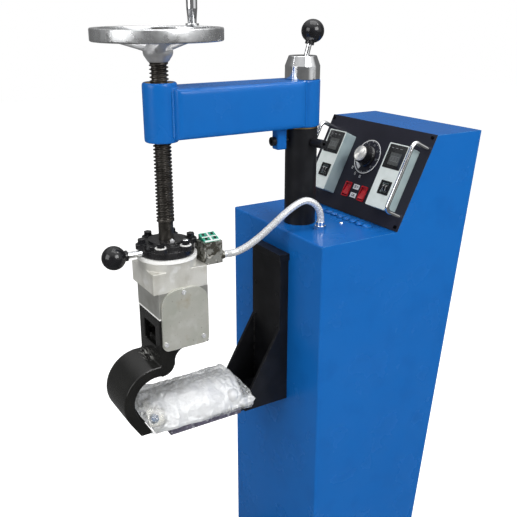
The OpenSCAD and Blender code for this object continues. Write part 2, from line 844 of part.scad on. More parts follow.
// Press screw: collar, plain shank, thread and the seat of the handwheel
thread_rise = 43;
thread_low = deck_z + thread_rise;
thread_top = front_boss_top + hub_gap;
thread_len = thread_top - thread_low;
spigot_gap = 0.5;
spigot_len = 4;
thread_depth_share = 0.5;
crest_share = 0.32;
root_share = 0.37;
seat_d = 22;
hub_low = thread_top;
hub_h = 36;
stud_d = 16;
stud_h = 14;
module press_screw() {
    depth = thread_pitch * thread_depth_share;
    flank = thread_pitch * (1 - crest_share - root_share) / 2;
    turns = floor(thread_len / thread_pitch);
    r = thread_d / 2;
    color("#33302d") translate([0, -boom_reach, 0]) {
        post(collar_d, collar_low, collar_top);
        post(bearing_bore - 2 * spigot_gap, collar_low - spigot_len, collar_low + over);
        post(shank_d, collar_top - over, thread_low + over);
        translate([0, 0, thread_low]) rotate_extrude() polygon(concat(
            [[0, 0], [r - depth, 0]],
            [for (i = [0 : turns - 1], k = [0 : 3])
                [k == 0 || k == 3 ? r - depth : r,
                 i * thread_pitch + [root_share * thread_pitch / 2, root_share * thread_pitch / 2 + flank,
                     root_share * thread_pitch / 2 + flank + crest_share * thread_pitch,
                     thread_pitch * (1 - root_share / 2)][k]]],
            [[r - depth, thread_len], [0, thread_len]]));
        post(seat_d, thread_top - over, hub_low + hub_h - over);
        post(stud_d, thread_top, hub_low + hub_h + stud_h);
    }
}

// Handwheel: rim, three sloping spokes and hub
rim_rise = 31.5;
rim_low = hub_low + rim_rise;
rim_r = 4;
hub_d = 50;
hub_foot_d = 34;
spoke_w = 24;
spoke_t = 8;
spoke_angles = [-15, 105, 225];
grip_angle = 119;
grip_pin_d = 8;
grip_pin_in = 12;
spoke_root = 4;
spoke_height_share = 0.55;
hub_top_step = 2;
module handwheel() {
    r_out = wheel_d / 2;
    rim_mid = rim_rise + rim_h / 2;
    spoke_rise = atan((rim_mid - hub_h * spoke_height_share) / (r_out - rim_w));
    color("#b9bcc0") translate([0, -boom_reach, hub_low]) difference() {
        union() {
            translate([0, 0, rim_rise + rim_h / 2]) rotate_extrude()
                translate([r_out - rim_w / 2, 0]) round_rect(rim_w, rim_h, rim_r);
            cylinder(d1 = hub_foot_d, d2 = hub_d, h = hub_h / 2);
            translate([0, 0, hub_h / 2])
                cylinder(d1 = hub_d, d2 = hub_foot_d + 2 * hub_top_step, h = hub_h / 2);
            for (a = spoke_angles) rotate([0, 0, a]) translate([0, 0, hub_h * spoke_height_share])
                rotate([0, -spoke_rise, 0])
                    translate([hub_foot_d / 2 - spoke_root, -spoke_w / 2, -spoke_t / 2])
                    cube([(r_out - rim_w / 2 - hub_foot_d / 2 + spoke_root) / cos(spoke_rise), spoke_w,
                        spoke_t]);
        }
        translate([0, 0, -over]) cylinder(d = seat_d + 2 * run_gap, h = hub_h + 2 * over);
        rotate([0, 0, grip_angle]) translate([r_out - rim_w / 2, 0, rim_rise + rim_h - grip_pin_in])
            cylinder(d = grip_pin_d + 2 * run_gap, h = grip_pin_in + over);
    }
}

// Nut and washer that hold the handwheel
wheel_washer_d = 34;
wheel_washer_t = 2.5;
wheel_nut_af = 24;
wheel_nut_h = 9;
module wheel_nut() {
    color("#c7cacd") translate([0, -boom_reach, hub_low + hub_h]) difference() {
        union() {
            cylinder(d = wheel_washer_d, h = wheel_washer_t);
            translate([0, 0, wheel_washer_t]) hex(wheel_nut_af, wheel_nut_h);
        }
        translate([0, 0, -over]) cylinder(d = stud_d + 2 * run_gap, h = stud_h + 2 * over);
    }
}

// Crank grip: a loose sleeve on its pin
grip_flange_d = 22;
grip_flange_h = 3;
grip_step = 0.5;
grip_neck_share = 0.4;
grip_low_share = 0.42;
grip_belly_share = 0.52;
grip_round_share = 0.25;
grip_height_shares = [0.12, 0.3, 0.6];
module grip_place() {
    translate([0, -boom_reach, rim_low + rim_h]) rotate([0, 0, grip_angle])
        translate([(wheel_d - rim_w) / 2, 0, 0])
        children();
}
module crank_grip() {
    color("#cdd1d5") grip_place() {
        translate([0, 0, free_gap - grip_pin_in]) cylinder(d = grip_pin_d, h = grip_pin_in + over);
        translate([0, 0, free_gap]) rotate_extrude() polygon(concat(
            [[0, 0], [grip_flange_d / 2, 0], [grip_flange_d / 2, grip_flange_h],
             [grip_d * grip_neck_share, grip_flange_h + grip_step],
             [grip_d * grip_low_share, grip_len * grip_height_shares[0]],
             [grip_d / 2, grip_len * grip_height_shares[1]],
             [grip_d * grip_belly_share, grip_len * grip_height_shares[2]]],
            arc([grip_d * grip_round_share, grip_len - grip_d * grip_round_share],
                grip_d * grip_round_share, 10, 90, bend_steps),
            [[0, grip_len]]));
    }
}

// Head: everything below is placed round the screw's axis
module head_place() {
    translate([0, -boom_reach, deck_z]) children();
}
retainer_t = 8;
retainer_inset = 4.5;
retainer_d = flange_d - 2 * retainer_inset;
lobe_inset = 3.5;
lobe_bolt_r = flange_d / 2 - lobe_inset;
lobe_d = 21;
lobe_count = 6;
lobe_start = -37;
hub_ring_d = 62;
hub_ring_t = 4;
bolt_shank_d = 6;
bolt_af = 10;
bolt_h = 7;
bolt_washer_d = 17;
bolt_washer_t = 1.5;
module lobe_ring(r) {
    for (i = [0 : lobe_count - 1]) rotate([0, 0, lobe_start + i * 360 / lobe_count]) translate([r, 0, 0])
        children();
}
module retaining_plate() {
    color("#1b1c1f") head_place() {
        linear_extrude(height = retainer_t) difference() {
            union() {
                circle(d = retainer_d);
                lobe_ring(lobe_bolt_r) circle(d = lobe_d);
            }
            circle(d = shank_d + 2 * free_gap);
            lobe_ring(lobe_bolt_r) circle(d = bolt_shank_d + 2 * run_gap);
        }
        difference() {
            translate([0, 0, retainer_t / 2]) cylinder(d = hub_ring_d, h = retainer_t / 2 + hub_ring_t);
            cylinder(d = shank_d + 2 * free_gap, h = retainer_t + hub_ring_t + over);
        }
    }
}
module flange_bolts() {
    color("#9fa2a6") head_place() lobe_ring(lobe_bolt_r) {
        translate([0, 0, retainer_t]) cylinder(d = bolt_washer_d, h = bolt_washer_t);
        translate([0, 0, retainer_t + bolt_washer_t]) hex(bolt_af, bolt_h);
        translate([0, 0, over - flange_t]) cylinder(d = bolt_shank_d, h = flange_t + retainer_t);
    }
}

// Black swivel flange with the socket of the ball handle
stem_d = 11;
stem_z = -flange_t / 2;
stem_len = 38.5;
stem_shift = 1;
stem_spigot_d = 5;
stem_spigot_len = 6;
module stem_place() {
    head_place() translate([stem_shift, -flange_d / 2, stem_z]) rotate([90, 0, 0]) children();
}
module swivel_flange() {
    color("#15171b") difference() {
        head_place() translate([0, 0, -flange_t]) cylinder(d = flange_d, h = flange_t);
        head_place() translate([0, 0, -flange_t - over])
            cylinder(d = bearing_d + 2 * free_gap, h = flange_t + 2 * over);
        head_place() lobe_ring(lobe_bolt_r) translate([0, 0, -flange_t - over])
            cylinder(d = bolt_shank_d + 2 * run_gap, h = flange_t + 2 * over);
        stem_place() translate([0, 0, -stem_spigot_len])
            cylinder(d = stem_spigot_d + 2 * run_gap, h = 2 * stem_spigot_len);
    }
}
module handle_stem() {
    color("#d2d5d9") stem_place() {
        cylinder(d = stem_d, h = stem_len);
        translate([0, 0, run_gap - stem_spigot_len]) cylinder(d = stem_spigot_d, h = stem_spigot_len);
    }
}
module handle_ball() {
    color("#121315") stem_place() translate([0, 0, stem_len + ball_d / 4]) ball_knob(stem_d);
}

// White insulating ring
ring_proud = 4.5;
ring_d = flange_d + 2 * ring_proud;
module insulator_ring() {
    color("#f2f2ee") head_place() difference() {
        translate([0, 0, -flange_t - ring_t]) cylinder(d = ring_d, h = ring_t);
        translate([0, 0, -flange_t - ring_t - over])
            cylinder(d = bearing_d + 2 * free_gap, h = ring_t + 2 * over);
    }
}

// Machined head block with its round boss and the bearing's pocket
block_front = 47;
block_back = 53;
boss_inset = 1;
module head_block() {
    color("#c4c3bd") head_place() difference() {
        union() {
            translate([-head_w / 2, -block_front, block_top - block_h])
                cube([head_w, block_front + block_back, block_h]);
            intersection() {
                translate([0, 0, block_top - over]) cylinder(d = ring_d - 2 * boss_inset, h = boss_h + over);
                translate([-head_w / 2, -block_front, block_top - over])
                    cube([head_w, block_front + block_back, boss_h + over]);
            }
        }
        translate([0, 0, bearing_low - deck_z - collar_gap])
            cylinder(d = bearing_d + 2 * free_gap, h = 2 * bearing_t);
    }
}

// Hollow heater box under the block
box_front = 39;
box_back = 53;
box_wall = 6;
module heater_box() {
    z0 = block_top - block_h - box_h;
    color("#bdbcb6") head_place() difference() {
        translate([-head_w / 2, -box_front, z0]) cube([head_w, box_front + box_back, box_h]);
        translate([-head_w / 2 + box_wall, -box_front + box_wall, z0 - over])
            cube([head_w - 2 * box_wall, box_front + box_back - 2 * box_wall, box_h - box_wall + over]);
    }
}

// Thin white gasket between the heater box and the neck
module gasket() {
    color("#f0f0ec") head_place() difference() {
        translate([-head_w / 2, -box_front, neck_top]) cube([head_w, box_front + box_back, gasket_t]);
        translate([-head_w / 2 + box_wall, -box_front + box_wall, neck_top - over])
            cube([head_w - 2 * box_wall, box_front + box_back - 2 * box_wall, gasket_t + 2 * over]);
    }
}

// Hook arm: hollow neck, throat, C band, tail and the foot that carries the upper platen
neck_front = -box_front;
neck_back = box_back;
throat_ahead = 13;
throat_y = -throat_ahead;
throat_lap = 6;
fillet_r = 22;
hook_ahead = 47;
hook_y = -hook_ahead;
sector_from = 75;
sector_to = 212;
foot_w = 60;
foot_t = 16;
foot_lap = 2;
foot_front = hook_y - hook_r + hook_t - foot_lap;
foot_back = platen_back - dome_t - free_gap;
cavity_front = 10;
cavity_back = 10;
cavity_low = 10;
window_half = 23;
window_rise_low = 3;
window_h_neck = 38;
module hook_profile() {
    inner = hook_r - hook_t;
    big = 3 * hook_r;
    o = [hook_y + hook_r * cos(sector_to), hook_z + hook_r * sin(sector_to)];
    i = [hook_y + inner * cos(sector_to), hook_z + inner * sin(sector_to)];
    run = tan(sector_to);
    translate([neck_front, neck_low]) square([neck_back - neck_front, neck_top - neck_low]);
    translate([neck_front, throat_z - throat_lap])
        square([throat_y - neck_front, neck_low - throat_z + throat_lap + over]);
    intersection() {
        translate([throat_y - throat_r, throat_z]) circle(r = throat_r);
        translate([neck_front, throat_z - throat_r]) square([throat_y - neck_front + over, 2 * throat_r]);
    }
    difference() {
        translate([throat_y - over, throat_z]) square([fillet_r + over, neck_low - throat_z + over]);
        translate([throat_y + fillet_r, throat_z]) circle(r = fillet_r);
    }
    intersection() {
        translate([hook_y, hook_z]) difference() {
            circle(r = hook_r);
            circle(r = inner);
        }
        translate([hook_y, hook_z]) polygon([[0, 0], [big * cos(sector_from), big * sin(sector_from)],
            [0, big], [-big, big], [-big, 0], [big * cos(sector_to), big * sin(sector_to)]]);
    }
    polygon([o, [o[0] + run * (o[1] - tail_low), tail_low], [i[0] + run * (i[1] - tail_low), tail_low], i,
             [i[0] - 2 * over, i[1] + 2 * over]]);
}
module hook_arm() {
    color("#131416") head_place() difference() {
        union() {
            along_x(head_w) hook_profile();
            translate([-foot_w / 2, foot_front, platen_top]) cube([foot_w, foot_back - foot_front, foot_t]);
        }
        translate([-head_w / 2 - over, neck_front + cavity_front, neck_low + cavity_low])
            cube([head_w + 2 * over, neck_back - neck_front - cavity_front - cavity_back, neck_len]);
        translate([-window_half, neck_front - over, neck_low + window_rise_low])
            cube([2 * window_half, cavity_front + 2 * over, window_h_neck]);
    }
}

// Side covers, with large upper and small lower corners
cover_front = 35.5;
cover_back = 51.5;
cover_lift = 2;
cover_up = 4;
cover_low = neck_low + cover_lift;
cover_high = block_top - block_h + cover_up;
cover_r_top = 30;
cover_r_low = 11;
module cover_shape() {
    w = cover_front + cover_back;
    translate([-cover_front, cover_low + cover_r_low])
        square([w, cover_high - cover_low - cover_r_low - cover_r_top]);
    translate([-cover_front + cover_r_low, cover_low]) square([w - 2 * cover_r_low, cover_r_low + over]);
    translate([-cover_front + cover_r_top, cover_high - cover_r_top - over])
        square([w - 2 * cover_r_top, cover_r_top + over]);
    for (s = [0, 1]) {
        translate([s == 0 ? -cover_front + cover_r_low : cover_back - cover_r_low,
            cover_low + cover_r_low]) circle(r = cover_r_low);
        translate([s == 0 ? -cover_front + cover_r_top : cover_back - cover_r_top,
            cover_high - cover_r_top]) circle(r = cover_r_top);
    }
}
module side_covers() {
    color("#b5b4ae") head_place() for (s = [-1, 1])
        translate([s * (head_w / 2 + cover_t / 2), 0, 0]) along_x(cover_t) cover_shape();
}
cover_screw_y = [5.5, -30, 40.5];
cover_screw_drop = 6.5;
cover_screw_rise = 13.5;
cover_screw_z = [cover_high - cover_screw_drop, cover_low + cover_screw_rise, cover_low + cover_screw_rise];
cover_screw_d = 8;
cover_screw_h = 2.5;
module cover_screws() {
    color("#d8d9da") head_place() for (s = [-1, 1], i = [0 : len(cover_screw_y) - 1])
        translate([s * (head_w / 2 + cover_t), cover_screw_y[i], cover_screw_z[i]]) rotate([0, s * 90, 0])
            cylinder(d = cover_screw_d, h = cover_screw_h);
}

// Junction box at the back of the head on its black bracket, and the green terminal block in it
jbox_x = 2;
jbox_w = 30;
jbox_d = 34;
jbox_h = 40;
jbox_rise = 2;
jbox_wall = 2;
jbox_plate_t = 3;
jbox_plate_down = 22;
jbox_plate_side = 4;
box_port_inset = 10;
box_port_rise = 10;
box_port_len = 7;
jbox_y = block_back + jbox_plate_t;
jbox_low = jbox_rise - jbox_h;
box_port_x = jbox_x + jbox_w - box_port_inset;
box_port_z = jbox_low + box_port_rise;
module junction_box() {
    color("#cfd0cc") head_place() {
        difference() {
            translate([jbox_x, jbox_y, jbox_low]) cube([jbox_w, jbox_d, jbox_h]);
            translate([jbox_x + jbox_wall, jbox_y + jbox_wall, jbox_low + jbox_wall])
                cube([jbox_w - 2 * jbox_wall, jbox_d - 2 * jbox_wall, jbox_h]);
        }
        translate([box_port_x, jbox_y + jbox_d, box_port_z]) rotate([-90, 0, 0])
            cylinder(d = ferrule_d, h = box_port_len);
        translate([jbox_x - jbox_plate_side, block_back, jbox_low - jbox_plate_down])
            cube([jbox_w + 2 * jbox_plate_side, jbox_plate_t, jbox_h + jbox_plate_down]);
    }
}
terminal_out = 10;
terminal_in = 12;
terminal_gap = 0.1;
terminal_ways = 4;
terminal_hole_d = 4;
terminal_hole_h = 4;
module terminal_block() {
    way = (jbox_d - 2 * jbox_wall - 2 * terminal_gap) / terminal_ways;
    color("#1f9d74") head_place() difference() {
        translate([jbox_x + jbox_wall + terminal_gap, jbox_y + jbox_wall + terminal_gap,
            jbox_low + jbox_h - terminal_in])
            cube([jbox_w - 2 * jbox_wall - 2 * terminal_gap, terminal_ways * way,
                terminal_out + terminal_in]);
        for (i = [0 : terminal_ways - 1])
            translate([jbox_x + jbox_w / 2, jbox_y + jbox_wall + terminal_gap + (i + 0.5) * way,
                       jbox_low + jbox_h + terminal_out - terminal_hole_h])
                cylinder(d = terminal_hole_d, h = terminal_hole_h + over);
    }
}

// Upper platen under the hook's foot
platen_rise = 1;
platen_low = tail_low + platen_rise;
platen_top = platen_low + platen_t;
module upper_platen() {
    color("#b7b8ba") head_place() translate([-platen_half_w, platen_back - platen_len, platen_low])
        cube([2 * platen_half_w, platen_len, platen_t]);
}

// Arched sheet cover over the foot and the platen
dome_proud = 4;
dome_r = platen_half_w + dome_proud;
dome_sink = 19.5;
dome_z = platen_top - dome_sink;
dome_ahead = 22;
dome_front = hook_y - dome_ahead;
module dome_solid(r, y0, y1, z0) {
    intersection() {
        translate([0, y0, dome_z]) rotate([-90, 0, 0]) cylinder(r = r, h = y1 - y0);
        translate([-r, y0, z0]) cube([2 * r, y1 - y0, 2 * r]);
    }
}
module platen_cover() {
    color("#a8abae") head_place() difference() {
        dome_solid(dome_r, dome_front, platen_back, platen_top);
        dome_solid(dome_r - dome_t, dome_front + dome_t, platen_back - dome_t, platen_top - over);
        translate([-foot_w / 2 - free_gap, dome_front - over, platen_top - over])
            cube([foot_w + 2 * free_gap, dome_t + 2 * over, foot_t + over + free_gap]);
        platen_bolt_places() {
            translate([0, 0, -platen_washer_sink])
                cylinder(d = platen_washer_d + 2 * run_gap, h = platen_washer_t);
            translate([0, 0, -platen_bolt_in]) cylinder(d = platen_bolt_d + 2 * run_gap, h = platen_bolt_in);
        }
    }
}

// Bolts at the four corners of the cover
platen_bolt_edge = 10;
platen_bolt_y = [dome_front + platen_bolt_edge, platen_back - platen_bolt_edge];
platen_bolt_lift = 34;
platen_bolt_af = 13;
platen_bolt_h = 6;
platen_bolt_d = 8;
platen_bolt_in = 6;
platen_washer_d = 17;
platen_washer_t = 1.5;
platen_washer_sink = 0.7;
module platen_bolt_places() {
    for (y = platen_bolt_y, s = [-1, 1])
        translate([0, y, dome_z]) rotate([0, s * (90 - platen_bolt_lift), 0]) translate([0, 0, dome_r])
            children();
}
module platen_bolts() {
    color("#35506e") head_place() platen_bolt_places() {
        translate([0, 0, -platen_washer_sink]) cylinder(d = platen_washer_d, h = platen_washer_t);
        translate([0, 0, platen_washer_t - platen_washer_sink]) hex(platen_bolt_af, platen_bolt_h);
        translate([0, 0, -platen_bolt_in]) cylinder(d = platen_bolt_d, h = platen_bolt_in);
    }
}

// Protective film round the platen and its cover: a thin shell, open at the front, cut out for the hook
film_drop = 0.4;
film_low = tail_low - film_drop;
film_back = platen_back + 3 * film_gap;
film_front = dome_front - film_gap;
film_bump_d = 21;
film_bump_h = 8.5;
film_slot_w = head_w + 2 * soft_gap;
tail_in_r = hook_r - hook_t;
tail_in_y = hook_y + tail_in_r * cos(sector_to)
    + tan(sector_to) * (hook_z + tail_in_r * sin(sector_to) - tail_low);
film_slot_y = tail_in_y + soft_gap;
module film_body(inset) {
    r = dome_r + film_gap + film_t - inset;
    y0 = film_front - (inset > 0 ? over : 0);
    y1 = film_back - inset;
    dome_solid(r, y0, y1, film_low + inset);
    intersection() {
        platen_bolt_places() translate([0, 0, -dome_r / 4])
            cylinder(d = film_bump_d - 2 * inset, h = dome_r / 4 + film_bump_h - inset);
        translate([-2 * r, y0, film_low]) cube([4 * r, y1 - y0, 4 * r]);
    }
}
module protective_film() {
    color("#e9eef2") head_place() difference() {
        film_body(0);
        film_body(film_t);
        translate([-film_slot_w / 2, film_front - 2 * over, film_low - over])
            cube([film_slot_w, film_slot_y - film_front + 2 * over, dome_r]);
    }
}

// Conduit from the deck gland to the junction box. Its route has the deck at zero height.
hose_route = [[62, 3, 14], [62, 3, 24], [61, -1, 38], [59, -11, 50], [56, -27, 56], [53, -45, 50],
    [49, -66, 36],
    [45, -88, 18], [40, -110, 0], [35, -132, -15], [30, -150, -24], [26, -162, -27], [22, -169, -28],
        [22, -176, -28]];
hose_cuts = [0, 5, 8, 13];
hose_sides = 10;
function unit3(v) = v / norm(v);
function hose_dir(i) =
    i == 0 ? [0, 0, 1] : i == len(hose_route) - 1 ? [0, -1, 0] : unit3(hose_route[i + 1] - hose_route[i - 1]);
function hose_ring(i) =
    let (t = hose_dir(i), a = unit3(cross(t, [1, 0, 0])), b = cross(t, a))
    [for (k = [0 : hose_sides - 1]) hose_route[i] + [0, 0, deck_z]
        + hose_d / 2 * (a * cos(k * 360 / hose_sides) + b * sin(k * 360 / hose_sides))];
module hose(part) {
    from = hose_cuts[part];
    n = hose_cuts[part + 1] - from;
    sides = [for (i = [0 : n - 1], k = [0 : hose_sides - 1])
        let (a = i * hose_sides + k, b = i * hose_sides + (k + 1) % hose_sides)
        each [[a, b, b + hose_sides], [a, b + hose_sides, a + hose_sides]]];
    color("#c9ccd0") polyhedron(points = [for (i = [from : from + n]) each hose_ring(i)],
        faces = concat(sides,
        [[for (k = [hose_sides - 1 : -1 : 0]) k]], [[for (k = [0 : hose_sides - 1]) n * hose_sides + k]]));
}
module conduit_lower() { hose(0); }
module conduit_middle() { hose(1); }
module conduit_upper() { hose(2); }

base_plate();
cabinet_shell();
rear_panel();
cabinet_screws();
control_panel();
pillar();
pillar_socket();
pillar_bushes();
lock_screw();
lower_bracket();
bracket_nuts();
lower_platen();
controller_left();
controller_right();
controller_fronts();
digit_wheel_1();
digit_wheel_2();
digit_wheel_3();
digit_wheel_4();
guard_handles();
timer_dial();
timer_knob();
rocker_left();
rocker_right();
deck_gland();
mains_gland();
contactor_rail();
swing_boom();
boom_spindle();
lug_bolt();
screw_nut();
lock_cap();
cap_lever();
cap_ball();
thrust_bearing();
press_screw();
handwheel();
wheel_nut();
crank_grip();
retaining_plate();
flange_bolts();
swivel_flange();
insulator_ring();
head_block();
heater_box();
gasket();
hook_arm();
side_covers();
cover_screws();
handle_stem();
handle_ball();
junction_box();
terminal_block();
upper_platen();
platen_cover();
platen_bolts();
protective_film();
conduit_lower();
conduit_middle();
conduit_upper();
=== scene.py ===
"""Looks of the floor-standing tyre vulcanizing machine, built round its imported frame."""
import math

import bmesh
import bpy
import numpy as np
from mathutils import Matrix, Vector
from mathutils.geometry import tessellate_polygon

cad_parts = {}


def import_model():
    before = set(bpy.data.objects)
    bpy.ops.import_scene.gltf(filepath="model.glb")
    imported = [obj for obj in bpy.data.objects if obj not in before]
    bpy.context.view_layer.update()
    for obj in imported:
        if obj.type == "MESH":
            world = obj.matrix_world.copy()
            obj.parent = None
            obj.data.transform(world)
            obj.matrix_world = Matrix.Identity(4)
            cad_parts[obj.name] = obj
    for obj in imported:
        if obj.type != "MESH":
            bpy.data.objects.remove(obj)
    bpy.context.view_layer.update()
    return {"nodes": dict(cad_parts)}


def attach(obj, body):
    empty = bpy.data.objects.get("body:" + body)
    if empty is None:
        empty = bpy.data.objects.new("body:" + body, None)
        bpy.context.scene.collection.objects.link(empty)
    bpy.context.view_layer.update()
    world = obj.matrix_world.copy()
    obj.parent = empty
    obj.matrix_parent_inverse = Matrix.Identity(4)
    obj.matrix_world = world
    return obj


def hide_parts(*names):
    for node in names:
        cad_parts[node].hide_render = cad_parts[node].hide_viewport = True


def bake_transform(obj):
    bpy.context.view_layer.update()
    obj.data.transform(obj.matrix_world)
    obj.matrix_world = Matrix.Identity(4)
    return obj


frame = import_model()
nodes = frame["nodes"]
scene = bpy.context.scene

# Places: lengths are millimetres, and each place function turns them into metres
MM = 0.001
DECK = 0.860  # metres
BOOM_REACH = 0.273  # metres
PANEL_FOOT = 109
PANEL_RUN, PANEL_RISE = 81, 166
PANEL_LEAN = math.atan2(PANEL_RUN, PANEL_RISE)
PANEL_T = 2.5
UP, RIGHT, FORWARD = (0, 0, 1), (1, 0, 0), (0, -1, 0)


def deck(x, y, z):
    """A point off the pillar's axis and the deck."""
    return Vector((x * MM, y * MM, DECK + z * MM))


def head(x, y, z):
    """A point off the screw's axis and the deck."""
    return Vector((x * MM, y * MM - BOOM_REACH, DECK + z * MM))


def panel(x, along, out):
    """A point on the tilted panel: across it, up its slope, and out from its face."""
    lean, out = PANEL_LEAN, out + PANEL_T
    return deck(x, PANEL_FOOT + along * math.sin(lean) - out * math.cos(lean),
                along * math.cos(lean) + out * math.sin(lean))


def spot(origin, up, across=None):
    """A place with axes of its own, as a function from local millimetres to a point."""
    c = Vector(up).normalized()
    a = (Vector(across) if across else c.orthogonal()).normalized()
    b = c.cross(a)
    return lambda x, y, z: origin + (a * x + b * y + c * z) * MM


def above(place, height):
    return lambda x, y, z: place(x, y, z + height)


PANEL_UP = (0, -math.cos(PANEL_LEAN), math.sin(PANEL_LEAN))


def on_panel(x, along, out):
    """A place on the tilted panel, whose heights stand out from it."""
    return spot(panel(x, along, out), PANEL_UP, RIGHT)


# Camera at the photograph's place, in metres
CAMERA_PLACE = (1.0646, -0.7415, 1.2448)
CAMERA_AIM = Vector((-0.8040, 0.4917, -0.3346))
camera = bpy.data.objects.new("camera", bpy.data.cameras.new("camera"))
camera.data.sensor_width = 36
camera.data.lens = 49.886
camera.location = CAMERA_PLACE
camera.rotation_euler = CAMERA_AIM.to_track_quat("-Z", "Y").to_euler()
scene.collection.objects.link(camera)
scene.camera = camera
scene.view_settings.view_transform = "Standard"


class Nodes:
    """A node tree, with short calls that add to it."""

    def __init__(self, tree):
        self.tree = tree

    def add(self, kind, sockets=None, **settings):
        """A shader node with its own settings, and then with values for the sockets it has by name."""
        node = self.tree.nodes.new("ShaderNode" + kind)
        for key, value in settings.items():
            setattr(node, key, value)
        for key, value in (sockets or {}).items():
            node.inputs[key].default_value = value
        return node

    def link(self, start, end):
        self.tree.links.new(start, end)

    def span(self, value, low, high, to_low=0.0, to_high=1.0, shape="LINEAR"):
        """A value taken from one range to another."""
        ends = {"From Min": low, "From Max": high, "To Min": to_low, "To Max": to_high}
        node = self.add("MapRange", ends, interpolation_type=shape)
        self.link(value, node.inputs["Value"])
        return node.outputs["Result"]

    def feed(self, node, *values):
        """Gives each value to the node's next input: another node's output is linked, the rest is set."""
        for value, socket in zip(values, node.inputs):
            if isinstance(value, bpy.types.NodeSocket):
                self.link(value, socket)
            else:
                socket.default_value = value
        return node.outputs

    def maths(self, operation, a, b):
        return self.feed(self.add("Math", operation=operation), a, b)[0]

    def vector(self, operation, *values):
        return self.feed(self.add("VectorMath", operation=operation), *values)

    def mixed(self, factor, first, second):
        """Two shaders mixed: the first where the factor is 0, the second where it is 1."""
        return self.feed(self.add("MixShader"), factor, first, second)[0]

    def seen(self, rays):
        """1 where the camera sees a surface, straight or through glass."""
        return self.maths("MAXIMUM", rays["Is Camera Ray"], rays["Is Transmission Ray"])


class Finish(Nodes):
    """A Principled material, with short calls that add procedural detail to it."""

    made = {}

    def __init__(self, name, colour, metallic=0.0, roughness=0.4, **sockets):
        self.material = bpy.data.materials.new(name)
        self.material.use_nodes = True
        super().__init__(self.material.node_tree)
        self.shader = self.tree.nodes["Principled BSDF"]
        self.made[name] = self
        self.name = name
        self.colour = (*colour, 1)
        self.base = None
        self.normal = None
        self.set("Base Color", self.colour)
        self.set("Metallic", metallic)
        self.set("Roughness", roughness)
        for socket, value in sockets.items():
            self.set(socket.replace("_", " "), value)
        self.place = self.add("TexCoord").outputs["Object"]

    def set(self, socket, value):
        self.shader.inputs[socket].default_value = value

    def scaled(self, stretch):
        """Where a point of the surface lies, with lengths stretched along the axes."""
        place = self.add("Mapping", {"Scale": stretch})
        self.link(self.place, place.inputs["Vector"])
        return place.outputs["Vector"]

    def noise(self, scale, detail=3, stretch=(1, 1, 1), distortion=0.0):
        """A noise value. The scale is in cells a metre, and stretch makes the cells shorter along an axis."""
        noise = self.add("TexNoise", {"Scale": scale, "Detail": detail, "Distortion": distortion})
        self.link(self.scaled(stretch), noise.inputs["Vector"])
        return noise.outputs["Fac"]

    def over(self, colour, mask):
        """Lays a colour over the base colour where the mask is 1."""
        node = self.add("Mix", {"A": self.colour, "B": (*colour, 1)}, data_type="RGBA")
        if self.base is not None:
            self.link(self.base, node.inputs["A"])
        self.link(mask, node.inputs["Factor"])
        self.base = node.outputs["Result"]
        self.link(self.base, self.shader.inputs["Base Color"])
        return self

    def cloudy(self, colour, scale, low=0.35, high=0.7, detail=3, stretch=(1, 1, 1)):
        """Soft clouds of another colour."""
        return self.over(colour, self.span(self.noise(scale, detail, stretch), low, high))

    def uneven(self, scale, low, high, detail=4, stretch=(1, 1, 1)):
        """Roughness that changes from place to place."""
        value = self.span(self.noise(scale, detail, stretch), 0.3, 0.7, low, high)
        self.link(value, self.shader.inputs["Roughness"])
        return self

    def soft_edges(self, radius=0.0004):
        """Shades hard corners as if they were rounded by this radius in metres."""
        node = self.add("Bevel", {"Radius": radius}, samples=4)
        self.normal = node.outputs["Normal"]
        self.link(self.normal, self.shader.inputs["Normal"])
        return self

    def bump(self, height, depth):
        """Relief of this depth in metres from a height value."""
        node = self.add("Bump", {"Distance": depth})
        self.link(height, node.inputs["Height"])
        if self.normal is not None:
            self.link(self.normal, node.inputs["Normal"])
        self.normal = node.outputs["Normal"]
        self.link(self.normal, self.shader.inputs["Normal"])
        return self

    def corners(self, radius):
        """A mask that is 1 along outer and inner corners, where the rounded normal leaves the true one."""
        bevel = self.add("Bevel", {"Radius": radius}, samples=4)
        facing = self.add("NewGeometry").outputs["Normal"]
        likeness = self.vector("DOT_PRODUCT", bevel.outputs["Normal"], facing)["Value"]
        return self.span(likeness, 0.98, 0.8)

    def worn(self, colour, radius, share=0.5, scale=90):
        """Another colour along the corners, in broken patches: worn or thin paint, and on some paints a
        painted highlight along the edges.
        """
        patches = self.span(self.noise(scale, 5), 1 - share, 1 - share + 0.08)
        return self.over(colour, self.maths("MULTIPLY", self.corners(radius), patches))

    def near(self, point, full, none, stretch=(1, 1, 1)):
        """A mask that is 1 within one distance of a point and 0 beyond another, in metres."""
        target = [p * s for p, s in zip(point, stretch)]
        return self.span(self.vector("DISTANCE", self.scaled(stretch), target)["Value"], full, none, 1, 0)

    def scuffed(self, colour, point, full, none, scale, share=0.5, stretch=(1, 1, 1)):
        """Scuffs in broken patches near one point."""
        patches = self.span(self.noise(scale, 5, stretch, 0.6), 1 - share, 1 - share + 0.1)
        return self.over(colour, self.maths("MULTIPLY", self.near(point, full, none, stretch), patches))

    def turned(self, point, axis, pitch, depth):
        """Fine turned rings round an axis."""
        off = self.vector("SUBTRACT", self.place, point)["Vector"]
        size = self.vector("LENGTH", self.vector("CROSS_PRODUCT", off, axis)["Vector"])["Value"]
        wave = self.maths("SINE", self.maths("MULTIPLY", size, math.tau / pitch), 0)
        return self.bump(wave, depth)


